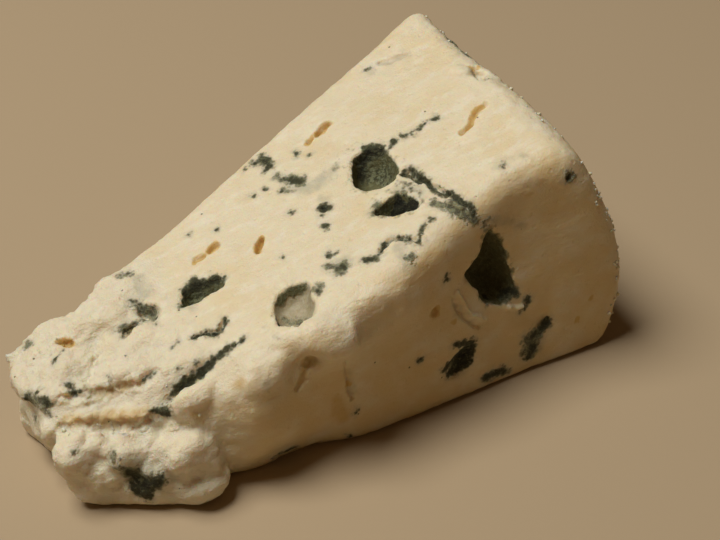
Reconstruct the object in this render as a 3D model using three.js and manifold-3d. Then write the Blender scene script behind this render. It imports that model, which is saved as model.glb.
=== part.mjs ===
// A broken wedge of blue-veined cheese that lies on one of its cut sides.
// Millimetres, +Z up, +X from the broken tip to the rind, -Y the front side.
import * as THREE from "three";
import { mergeVertices } from "three/addons/utils/BufferGeometryUtils.js";
import Module from "manifold-3d";

const { clamp, degToRad, lerp, smoothstep } = THREE.MathUtils;

// The whole wedge.
const LENGTH = 90.9; // broken tip to the bulge of the rind
const RIND_WIDTH = 49.4; // front to back along the rind's top edge
const RIND_HEIGHT = 37.2; // base to the rind's top edge
const TIP_HEIGHT = 13; // base to the top face at the tip
const FRONT_Y = -24.2; // the flat front side
const TIP_BACK_Y = 6.2; // the back edge at the tip
const BREAK_BACK_Y = 8; // the back edge where the broken part begins
const FRONT_ROUND = 4.4; // rounding between the top and the front
const FRONT_ROUND_SWING = 1; // how far that rounding grows and shrinks along the edge
const FRONT_ROUND_SPAN = 6.5;
const SAG = { x: -18, width: 7, round: 2.6 }; // where the edge has sagged, and how much rounder it is there
const BACK_ROUND = 1.6; // rounding between the top and the back
const BASE_ROUND = 1.6; // roundings around the base
const BASE_TRIM = 0.4; // what is cut away below to leave the base flat
const GRID_STEP = 1.95; // spacing of the surface grid
const GRID_GATHER = 0.2; // how far the grid lines crowd toward the edges
const TIP_GATHER = 0.42; // how far they crowd toward the tip

// The front side. Its top edge stands back between `from` and `rind`; its foot draws in toward the tip.
const FRONT_LEAN = { depth: 5, from: 0.5, full: 26, fading: 26, rind: 41, left: 0.3 };
const FRONT_FOOT = { depth: 2, from: 2, full: 10, height: 7 };
// Where the front swells out: the middle, how far it spreads along and up, and how far it stands out.
const SWELLS = [
  { name: "belly", x: -18.5, z: 11.5, width: 6, rise: 5.5, height: 1.9 },
  { name: "lobe", x: -7, z: 19.6, width: 4, rise: 3.4, height: 1.9 },
  { name: "low lobe", x: 3.5, z: 22.5, width: 5, rise: 3, height: 1 },
];

// The rind, which bulges low down and leans back toward its top edge.
const RIND_LEAN = 9.6; // bulge to top edge
const RIND_BULGE_Z = 12; // height of the bulge
const RIND_FOOT = 3.6; // how far the foot tucks in under the bulge
const RIND_BOW = { front: 1.2, back: 0.2 }; // how far the rind's middle stands out in plan past its sides

// The broken tip.
const BREAK_X = -24; // where the smooth cut ends
const BREAK_BLEND = 9; // length over which the break sets in
const CORNER_X = -20; // where the front turns in toward the tip
const CORNER_CUT = 14; // how far the tip's front corner is broken away
const BACK_UNDERCUT = 5; // how far the base draws in under the tip's back edge
const END_UNDERCUT = { front: 4, back: 0.8 }; // how far the base draws in under the tip's end
const BACK_NOTCH = { x: -28.9, depth: 3, run: 10 }; // the step in the back edge, and how far it runs out
const LEDGE = { x: -29, y: -14.2, slope: -0.5, drop: 2.2, blend: 1.6 }; // the step along the tip's front

// The lump that has slid down in front of the tip; its foot draws in at the outer end by `tuck`.
const LUMP = { length: 23.2, depth: 9.8, height: 12.4, round: 2.7, tuck: 5.2, step: 1.4 };
const LUMP_PLACE = { x: -34.4, y: -16.2, sink: 1.3, turn: -27 }; // sink: how far it reaches below the base
const LUMP_CRAG_GAIN = 1.3; // its crags against those of the tip

// The relief of the surfaces.
const CUT_WAVE = 0.35; // soft waves over the cut faces
const CUT_WAVE_SPAN = 12;
const EDGE_LOBE = 0.8; // soft lobes along the edge between the top and the front
const EDGE_LOBE_REACH = 8;
const EDGE_LOBE_SPAN = 6;
const CRAG = 1.1; // crags of the broken tip
const CRAG_SPAN = 6;
const FLAKE = 1; // flakes on the crags
const FLAKE_SPAN = 3.1;
const PIT_ROUGHNESS = 0.35;
const PIT_ROUGHNESS_SPAN = 0.6; // in shares of the pit's own half length
const NOISE_SEED = 11;

// Pits: a centre on the face, then the mouth's length, width and turn, and the depth.
const PITS = [
  { name: "edge dent", face: "front", x: -11.4, z: 19, length: 3.8, width: 2.8, turn: 30, depth: 1.4 },
  { name: "front patch", face: "front", x: 14.9, z: 8, length: 6.8, width: 4, turn: 52, depth: 1 },
  { name: "low hole", face: "front", x: 29.4, z: 8.8, length: 3, width: 2.2, turn: 40, depth: 1.2 },
  { name: "back slot", face: "back", x: 24, z: 21, length: 11, width: 4.2, turn: 22, depth: 3.4 },
  { name: "back hollow", face: "back", x: 5, z: 14, length: 7, width: 5, turn: -35, depth: 3.2 },
  { name: "back pit", face: "back", x: -12, z: 9.5, length: 5, width: 2.8, turn: 12, depth: 1.8 },
  { name: "rind pit", face: "rind", y: 9, z: 25, length: 5, width: 2.2, turn: 35, depth: 1.1 },
  { name: "low rind pit", face: "rind", y: -8, z: 13, length: 3.4, width: 1.8, turn: -20, depth: 0.9 },
];

// Holes: the corners of the mouth, as x and y on the top or x and z on the front, the depth, and the
// share of the mouth that is left at the floor.
const HOLES = [
  {
    name: "upper hollow",
    face: "top",
    corners: [[11.5, 2.9], [8.6, -2.1], [8.9, -4.5], [10.8, -6.1], [13.6, -6.5], [15.2, -4.4], [15.6, 0.6]],
    depth: 4.4,
    floor: 0.66,
  },
  {
    name: "lower hollow",
    face: "top",
    corners: [[7.2, -10.1], [9.7, -9], [11.9, -9.2], [13.5, -11.5], [12.7, -13.8], [9.6, -12.4]],
    depth: 3.4,
    floor: 0.5,
  },
  {
    name: "dark slot",
    face: "top",
    corners: [[-21.8, -6.2], [-19.9, -3.2], [-17.3, -3.6], [-14.3, -5], [-15.2, -6.8], [-18.9, -6.8]],
    depth: 2.5,
    floor: 0.55,
  },
  {
    name: "grey pot",
    face: "top",
    corners: [[-11.6, -15], [-9.2, -13.7], [-6, -14.8], [-6.8, -18], [-8.2, -21], [-11, -21.8], [-13, -19]],
    depth: 2.4,
    floor: 0.6,
  },
  {
    name: "crumbled pocket",
    face: "top",
    corners: [[-26.6, -0.2], [-25.2, -1.4], [-24.2, -4.4], [-25.6, -5.8], [-26.8, -3.4]],
    depth: 2.2,
    floor: 0.4,
  },
  {
    name: "pocket's crack",
    face: "top",
    corners: [[-31, -5.6], [-29, -3.8], [-27, -3.7], [-28.6, -5.2]],
    depth: 2.2,
    floor: 0.4,
  },
  {
    name: "kite",
    face: "front",
    corners: [
      [21, 27.5], [23.5, 22.9], [24.6, 17.8], [25.4, 15.6], [22.2, 14], [19.4, 15.7], [17.1, 19.6],
      [15.8, 21.5], [18.7, 23.9],
    ],
    depth: 5.2,
    floor: 0.5,
  },
];
const HOLE_SIDES = 26;
const HOLE_RISE = 4; // how far a hole's cutter stands out of its face
// Rings of a hole's cutter: shares of its depth, or of its rise where negative, and of its taper.
const HOLE_RINGS = [[1, 1], [0.5, 0.35], [0, 0], [-1, 0]];
const HOLE_TENSION = 0.25; // how far the mouth's outline swings through its corners
const HOLE_JAG = 0.45;
const HOLE_JAG_SPAN = 1.6;

// Clefts: x, y, floor height and mouth width along each one, from its fine end to its wide end.
const CLEFTS = {
  front: [
    [-16.6, -18.1, 19.6, 0.4],
    [-21.1, -17.9, 15.8, 1.1],
    [-25.4, -17.6, 12.8, 1.6],
    [-29.6, -17.4, 10.6, 2],
    [-32, -16.8, 10.6, 1],
  ],
  upper: [
    [-27.2, -13.4, 16.8, 0.4],
    [-30.8, -14, 14, 1.6],
    [-34.2, -13.2, 12.8, 1.1],
    [-38.8, -10.2, 11.8, 1.1],
    [-41.2, -6, 12, 0.4],
  ],
};
const CLEFT_STATIONS = 14;
const CLEFT_JAG = 0.45;
const SLIVER = 0.03; // points closer than this to their neighbours' face are dropped

const wasm = await Module();
wasm.setup();

// A repeatable value from -1 to 1 at a whole-number lattice point.
function latticeValue(i, j, k) {
  const spread = Math.sin(i * 127.1 + j * 311.7 + k * 74.7 + NOISE_SEED) * 43758.5453;
  return 2 * (spread - Math.floor(spread)) - 1;
}

// Smooth noise from -1 to 1 whose bumps are about `span` millimetres wide.
function noise(point, span) {
  const [x, y, z] = point.toArray().map((value) => value / span);
  const [i, j, k] = [x, y, z].map(Math.floor);
  const [u, v, w] = [x - i, y - j, z - k].map((part) => part * part * (3 - 2 * part));
  const row = (dj, dk) => lerp(latticeValue(i, j + dj, k + dk), latticeValue(i + 1, j + dj, k + dk), u);
  return lerp(lerp(row(0, 0), row(1, 0), v), lerp(row(0, 1), row(1, 1), v), w);
}

// How far a place belongs to the broken tip, from 0 on the smooth cut to 1.
function brokenShare(x) {
  return 1 - smoothstep(x, BREAK_X - BREAK_BLEND, BREAK_X + BREAK_BLEND);
}

// Height of the top face, which rises evenly from the tip to the rind.
function topHeight(x) {
  return lerp(TIP_HEIGHT, RIND_HEIGHT, (x + LENGTH / 2) / (LENGTH - RIND_LEAN));
}

// The front side: flat, then turned in where the tip's corner is broken away.
function frontLine(x) {
  const turnedIn = clamp((CORNER_X - x) / (CORNER_X + LENGTH / 2), 0, 1);
  return FRONT_Y + CORNER_CUT * turnedIn ** 1.2;
}

// How far the front's top edge stands back from its foot.
function frontLean(x) {
  const setIn = smoothstep(x, FRONT_LEAN.from, FRONT_LEAN.full);
  const faded = (1 - FRONT_LEAN.left) * smoothstep(x, FRONT_LEAN.fading, FRONT_LEAN.rind);
  return FRONT_LEAN.depth * setIn * (1 - faded);
}

// The front side at a height, with its lean, foot and swells.
function frontAt(x, z) {
  const lean = (frontLean(x) * z) / topHeight(x);
  const drawn = smoothstep(-x, FRONT_FOOT.from, FRONT_FOOT.full) * (1 - smoothstep(z, 0, FRONT_FOOT.height));
  let y = frontLine(x) + lean + FRONT_FOOT.depth * drawn;
  for (const swell of SWELLS) {
    const away = ((x - swell.x) / swell.width) ** 2 + ((z - swell.z) / swell.rise) ** 2;
    y -= swell.height * Math.exp(-away);
  }
  return y;
}

// The back edge of the top face: nearly straight along the break, then spreading to the rind.
function backLine(x) {
  const alongBreak = clamp((x + LENGTH / 2) / (BREAK_X + LENGTH / 2), 0, 1);
  const alongCut = Math.max(0, (x - BREAK_X) / (LENGTH / 2 - RIND_LEAN - BREAK_X));
  const spread = (FRONT_Y + RIND_WIDTH - BREAK_BACK_Y) * alongCut;
  const past = BACK_NOTCH.x - x;
  const notch = smoothstep(past, 0, 1) * (1 - smoothstep(past, BACK_NOTCH.run / 2, BACK_NOTCH.run));
  return lerp(TIP_BACK_Y, BREAK_BACK_Y, alongBreak) + spread - BACK_NOTCH.depth * notch;
}

// How far the tip's front has dropped in front of the step along it.
function ledgeDrop(x, y) {
  const step = LEDGE.y + LEDGE.slope * (x - LEDGE.x);
  return LEDGE.drop * brokenShare(x) * smoothstep(step - y, 0, LEDGE.blend);
}

// How far the rind stands back from its bulge, at a height and a place across from -1 to 1.
function rindSetback(z, across) {
  const leaning = Math.max(0, (z - RIND_BULGE_Z) / (RIND_HEIGHT - RIND_BULGE_Z));
  const tucked = Math.max(0, 1 - z / RIND_BULGE_Z);
  const bow = across < 0 ? RIND_BOW.front : RIND_BOW.back;
  return RIND_LEAN * leaning ** 1.4 + RIND_FOOT * tucked ** 2 + bow * across * across;
}

// A closed grid over a box centred on the origin, its lines crowded toward the edges and the tip.
function gatheredBox(size, step) {
  const counts = size.toArray().map((side) => Math.round(side / step));
  const box = new THREE.BoxGeometry(2, 2, 2, ...counts);
  const gather = (part) => part * (1 + GRID_GATHER * (1 - part * part));
  return reshape(box, (point) => {
    point.set(...point.toArray().map(gather));
    point.x -= (TIP_GATHER * (1 - point.x * point.x)) / 2;
    return point.multiply(size).divideScalar(2);
  });
}

// Merges a geometry to a closed mesh and moves each of its points through `move`.
function reshape(geometry, move) {
  geometry.deleteAttribute("normal");
  geometry.deleteAttribute("uv");
  const closed = mergeVertices(geometry);
  const position = closed.getAttribute("position");
  const point = new THREE.Vector3();
  for (let index = 0; index < position.count; index += 1) {
    point.fromBufferAttribute(position, index);
    position.setXYZ(index, ...move(point, index).toArray());
  }
  return closed;
}

// Pulls a point of a box's surface in, so that the edges get the given radius.
function roundEdges(point, half, radius) {
  const core = half.clone().subScalar(radius);
  const inner = point.clone().clamp(core.clone().negate(), core);
  return inner.add(point.clone().sub(inner).setLength(radius));
}

// Pushes every point out along its normal by `height` of the point, less toward the base.
function raiseRelief(geometry, height) {
  geometry.computeVertexNormals();
  const normals = geometry.getAttribute("normal").clone();
  return reshape(geometry, (point, index) => {
    const normal = new THREE.Vector3().fromBufferAttribute(normals, index);
    const lift = height(point) * smoothstep(point.z, 0, BASE_ROUND * 2);
    return point.addScaledVector(normal, lift);
  });
}

// Crags and flakes of a broken surface, in millimetres out from it.
function crags(point) {
  return CRAG * noise(point, CRAG_SPAN) + FLAKE * noise(point, FLAKE_SPAN);
}

// Lobes that swell and shrink along the edge between the top and the front.
function edgeLobes(point) {
  const height = topHeight(point.x);
  const fromEdge = Math.hypot(point.y - frontAt(point.x, height), point.z - height);
  return EDGE_LOBE * (1 - smoothstep(fromEdge, 0, EDGE_LOBE_REACH)) * noise(point, EDGE_LOBE_SPAN);
}

// The main body: a rounded block drawn into the wedge's own plan, heights, rind and tip.
function bodyGeometry() {
  const size = new THREE.Vector3(LENGTH, RIND_WIDTH, RIND_HEIGHT);
  const half = size.clone().divideScalar(2);
  const body = reshape(gatheredBox(size, GRID_STEP), (corner) => {
    const swing = FRONT_ROUND_SWING * noise(new THREE.Vector3(corner.x, 0, 0), FRONT_ROUND_SPAN);
    const sag = SAG.round * Math.exp(-(((corner.x - SAG.x) / SAG.width) ** 2));
    const topRound = lerp(FRONT_ROUND + swing + sag, BACK_ROUND, corner.y / size.y + 0.5);
    const radius = lerp(BASE_ROUND, topRound, smoothstep(corner.z / half.z, -1, 1));
    const point = roundEdges(corner, half, radius);
    const across = point.y / half.y;
    const level = (point.z / half.z + 1) / 2;
    const toRind = smoothstep(point.x / half.x, 0.3, 1);
    const toTip = smoothstep(-point.x / half.x, 0.3, 1);
    const setback = toRind * rindSetback(level * RIND_HEIGHT, across);
    const undercut = lerp(END_UNDERCUT.front, END_UNDERCUT.back, (across + 1) / 2);
    const x = point.x - setback + toTip * undercut * (1 - level);
    const back = backLine(x) - toTip * BACK_UNDERCUT * (1 - level);
    const y = lerp(frontAt(x, level * topHeight(x)), back, (across + 1) / 2);
    return point.set(x, y, level * (topHeight(x) - ledgeDrop(x, y)));
  });
  return raiseRelief(body, (point) => {
    const wave = CUT_WAVE * noise(point, CUT_WAVE_SPAN);
    return wave + edgeLobes(point) + brokenShare(point.x) * crags(point);
  });
}

// The lump in front of the tip: a rounded, craggy block turned toward the broken corner.
function lumpGeometry() {
  const size = new THREE.Vector3(LUMP.length, LUMP.depth, LUMP.height);
  const half = size.clone().divideScalar(2);
  const turn = degToRad(LUMP_PLACE.turn);
  const lump = reshape(gatheredBox(size, LUMP.step), (corner) => {
    const point = roundEdges(corner, half, LUMP.round);
    point.x += LUMP.tuck * Math.max(0, -point.x / half.x) * (0.5 - point.z / size.z);
    point.applyAxisAngle(new THREE.Vector3(0, 0, 1), turn);
    return point.add(new THREE.Vector3(LUMP_PLACE.x, LUMP_PLACE.y, half.z - LUMP_PLACE.sink));
  });
  return raiseRelief(lump, (point) => LUMP_CRAG_GAIN * crags(point));
}

// A face's outward direction and the point on it that a pit is centred on.
function facePoint({ face, x, y, z }) {
  const spread = backLine(1) - backLine(0);
  if (face === "front") {
    return { at: new THREE.Vector3(x, frontAt(x, z), z), out: new THREE.Vector3(0, -1, 0) };
  }
  if (face === "back") {
    return { at: new THREE.Vector3(x, backLine(x), z), out: new THREE.Vector3(-spread, 1, 0).normalize() };
  }
  const rindX = LENGTH / 2 - rindSetback(z, (2 * y) / RIND_WIDTH);
  return { at: new THREE.Vector3(rindX, y, z), out: new THREE.Vector3(1, 0, 0) };
}

// The cutter of a pit: a rough pebble, half sunk in its face.
function pitCutter(pit) {
  const { at, out } = facePoint(pit);
  const level = pit.face === "rind" ? new THREE.Vector3(0, 1, 0) : new THREE.Vector3(1, 0, 0);
  const across = out.clone().cross(level).normalize();
  const along = across.clone().cross(out);
  const basis = new THREE.Matrix4().makeBasis(along, across, out).setPosition(at);
  const pebble = new THREE.IcosahedronGeometry(1, 2);
  return reshape(pebble, (point) => {
    point.multiplyScalar(1 + PIT_ROUGHNESS * noise(point.clone().add(at), PIT_ROUGHNESS_SPAN));
    point.multiply(new THREE.Vector3(pit.length / 2, pit.width / 2, pit.depth));
    point.applyAxisAngle(new THREE.Vector3(0, 0, 1), degToRad(pit.turn));
    return point.applyMatrix4(basis);
  });
}

// A place on the top or the front, `out` millimetres outside it.
function onFace(face, first, second, out) {
  if (face === "top") {
    return new THREE.Vector3(first, second, topHeight(first) + out);
  }
  return new THREE.Vector3(first, frontAt(first, second) - out, second);
}

// The cutter of a hole: jagged rings through its mouth, from outside the face down to the floor.
function holeCutter({ face, corners, depth, floor }) {
  const turned = THREE.ShapeUtils.isClockWise(corners.map(([x, y]) => new THREE.Vector2(x, y)));
  const path = turned ? corners.toReversed() : corners;
  const points = path.map(([first, second]) => new THREE.Vector3(first, second, 0));
  const mouth = new THREE.CatmullRomCurve3(points, true, "catmullrom", HOLE_TENSION);
  const middle = new THREE.Vector3();
  points.forEach((point) => middle.addScaledVector(point, 1 / points.length));
  const places = [onFace(face, middle.x, middle.y, -depth)];
  const faces = [];
  HOLE_RINGS.forEach(([sunk, taper], level) => {
    const out = -sunk * (sunk > 0 ? depth : HOLE_RISE);
    for (let side = 0; side < HOLE_SIDES; side += 1) {
      const rim = middle.clone().lerp(mouth.getPoint(side / HOLE_SIDES), lerp(1, floor, taper));
      const jag = HOLE_JAG * noise(new THREE.Vector3(rim.x, rim.y, out), HOLE_JAG_SPAN);
      rim.add(rim.clone().sub(middle).setLength(jag));
      places.push(onFace(face, rim.x, rim.y, out));
      const next = (side + 1) % HOLE_SIDES;
      const [a, b] = [1 + level * HOLE_SIDES + side, 1 + level * HOLE_SIDES + next];
      if (level === 0) {
        faces.push(0, b, a);
      } else {
        faces.push(a - HOLE_SIDES, b - HOLE_SIDES, a, b - HOLE_SIDES, b, a);
      }
    }
  });
  const lid = places.length;
  places.push(onFace(face, middle.x, middle.y, HOLE_RISE));
  for (let side = 0; side < HOLE_SIDES; side += 1) {
    faces.push(lid, lid - HOLE_SIDES + side, lid - HOLE_SIDES + ((side + 1) % HOLE_SIDES));
  }
  return new THREE.BufferGeometry().setFromPoints(places).setIndex(faces);
}

// The cutter of a cleft: a wedge-shaped trench along its path, open to the top.
function cleftCutter(stations) {
  const path = new THREE.CatmullRomCurve3(stations.map(([x, y, floor]) => new THREE.Vector3(x, y, floor)));
  const widths = new THREE.CatmullRomCurve3(stations.map(([x, , , width]) => new THREE.Vector3(x, width, 0)));
  const corners = [];
  const faces = [];
  for (let index = 0; index <= CLEFT_STATIONS; index += 1) {
    const share = index / CLEFT_STATIONS;
    const floor = path.getPoint(share);
    const heading = path.getTangent(share);
    const side = new THREE.Vector3(-heading.y, heading.x, 0).normalize();
    const width = widths.getPoint(share).y;
    const jag = Math.min(CLEFT_JAG, width / 3) * latticeValue(index, 0, 0);
    const mouth = floor.clone().addScaledVector(side, jag).setZ(RIND_HEIGHT);
    const flare = (RIND_HEIGHT - floor.z) / (topHeight(floor.x) - floor.z);
    corners.push(floor.clone());
    corners.push(mouth.clone().addScaledVector(side, (width * flare) / 2));
    corners.push(mouth.clone().addScaledVector(side, (-width * flare) / 2));
    if (index > 0) {
      const [a, b, c] = [3 * index - 3, 3 * index - 2, 3 * index - 1];
      faces.push(a, b, a + 3, b, b + 3, a + 3);
      faces.push(b, c, b + 3, c, c + 3, b + 3);
      faces.push(c, a, c + 3, a, a + 3, c + 3);
    }
  }
  const last = 3 * CLEFT_STATIONS;
  faces.push(0, 2, 1, last, last + 1, last + 2);
  const cutter = new THREE.BufferGeometry().setFromPoints(corners);
  return cutter.setIndex(faces);
}

// A three.js geometry as a closed body for joining and cutting.
function solid(geometry) {
  const vertProperties = new Float32Array(geometry.getAttribute("position").array);
  const triVerts = new Uint32Array(geometry.getIndex().array);
  return new wasm.Manifold(new wasm.Mesh({ numProp: 3, vertProperties, triVerts }));
}

// The block of everything below the base.
function groundGeometry() {
  const side = 2 * LENGTH;
  const ground = new THREE.BoxGeometry(side, side, side);
  return reshape(ground, (point) => point.setZ(point.z - side / 2 + BASE_TRIM));
}

// The cut body back as a three.js geometry, set down on the base with its box's middle at the origin.
function wedgeGeometry() {
  let wedge = solid(bodyGeometry()).add(solid(lumpGeometry()));
  for (const stations of Object.values(CLEFTS)) {
    wedge = wedge.subtract(solid(cleftCutter(stations)));
  }
  for (const hole of HOLES) {
    wedge = wedge.subtract(solid(holeCutter(hole)));
  }
  for (const pit of PITS) {
    wedge = wedge.subtract(solid(pitCutter(pit)));
  }
  wedge = wedge.simplify(SLIVER).subtract(solid(groundGeometry()));
  const { vertProperties, triVerts } = wedge.getMesh();
  const geometry = new THREE.BufferGeometry();
  geometry.setAttribute("position", new THREE.BufferAttribute(vertProperties, 3));
  geometry.setIndex(new THREE.BufferAttribute(triVerts, 1));
  geometry.computeBoundingBox();
  const middle = geometry.boundingBox.getCenter(new THREE.Vector3());
  geometry.translate(-middle.x, -middle.y, -geometry.boundingBox.min.z);
  geometry.computeVertexNormals();
  return geometry;
}

const paste = new THREE.MeshStandardMaterial({ name: "cheese paste", color: "#e6d7b2", roughness: 0.6 });
const wedge = new THREE.Mesh(wedgeGeometry(), paste);
wedge.name = "wedge";

const part = new THREE.Group();
part.name = "blue cheese wedge";
part.add(wedge);

export default part;
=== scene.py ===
"""A broken wedge of blue-veined cheese, lying on one of its cut sides.

The paste is worked from the wedge's own solid: its skin is made finer, smoothed where it was
cut, crumbled where it broke, and marked with mould, amber slots, stains and painted shade.
"""

import math

import bpy
import numpy as np
from bpy.props import FloatProperty, FloatVectorProperty, IntProperty, PointerProperty
from bpy.types import Operator, Panel, PropertyGroup
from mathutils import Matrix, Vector, noise


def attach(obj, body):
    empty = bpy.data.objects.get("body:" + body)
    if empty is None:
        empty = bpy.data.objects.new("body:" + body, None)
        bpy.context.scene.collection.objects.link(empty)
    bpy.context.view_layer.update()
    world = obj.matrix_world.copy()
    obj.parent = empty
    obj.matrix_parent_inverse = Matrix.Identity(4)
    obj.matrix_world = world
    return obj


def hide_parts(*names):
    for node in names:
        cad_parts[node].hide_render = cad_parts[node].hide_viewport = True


bl_info = {
    "name": "Blue Cheese Wedge",
    "version": (1, 0, 0),
    "blender": (4, 5, 0),
    "location": "View3D > Sidebar > Cheese",
    "description": "Works a wedge of blue-veined cheese from its solid and sets it on a plain stage",
    "category": "Add Mesh",
}

MM = 0.001
SEED = 7

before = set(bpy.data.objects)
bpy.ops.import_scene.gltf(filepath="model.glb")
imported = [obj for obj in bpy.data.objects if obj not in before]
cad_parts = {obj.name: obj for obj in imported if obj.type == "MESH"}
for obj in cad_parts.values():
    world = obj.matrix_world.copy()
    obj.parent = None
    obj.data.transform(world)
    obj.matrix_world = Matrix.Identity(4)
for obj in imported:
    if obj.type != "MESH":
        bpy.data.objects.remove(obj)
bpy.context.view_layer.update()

# Each face is marked from outside, along its own direction: the two axes that a mark's place is
# given on, and the way that a mark goes in.
FACES = {
    "top": ((0, 1), Vector((0, 0, -1))),
    "front": ((0, 2), Vector((0, 1, 0))),
    "back": ((0, 2), Vector((0, -1, 0))),
    "rind": ((1, 2), Vector((-1, 0, 0))),
    "tip": ((1, 2), Vector((1, 0, 0))),
    "under": ((0, 1), Vector((0, 0, 1))),
}
# Marks are cast onto the piece from this far away, in metres.
OUTSIDE = 0.1

# The flat faces, in millimetres: a level, how it changes along x and z, the axis it is measured on, and
# the way along that axis that is outward.
LEVELS = {
    "top": (26.2, (0.294, 0.0), 2, 1),
    "front": (-27.35, (0.103, 0.155), 1, -1),
    "back": (14.5, (0.287, 0.0), 1, 1),
}
# A hollow's walls are coloured from this far behind its face, down to this depth.
LIP = 0.4 * MM
DEEPEST = 9 * MM


def on(face, *chains):
    """These chains on one face; a bead by itself is a chain too."""
    return tuple((face, chain if isinstance(chain[0], tuple) else (chain,)) for chain in chains)


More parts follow.
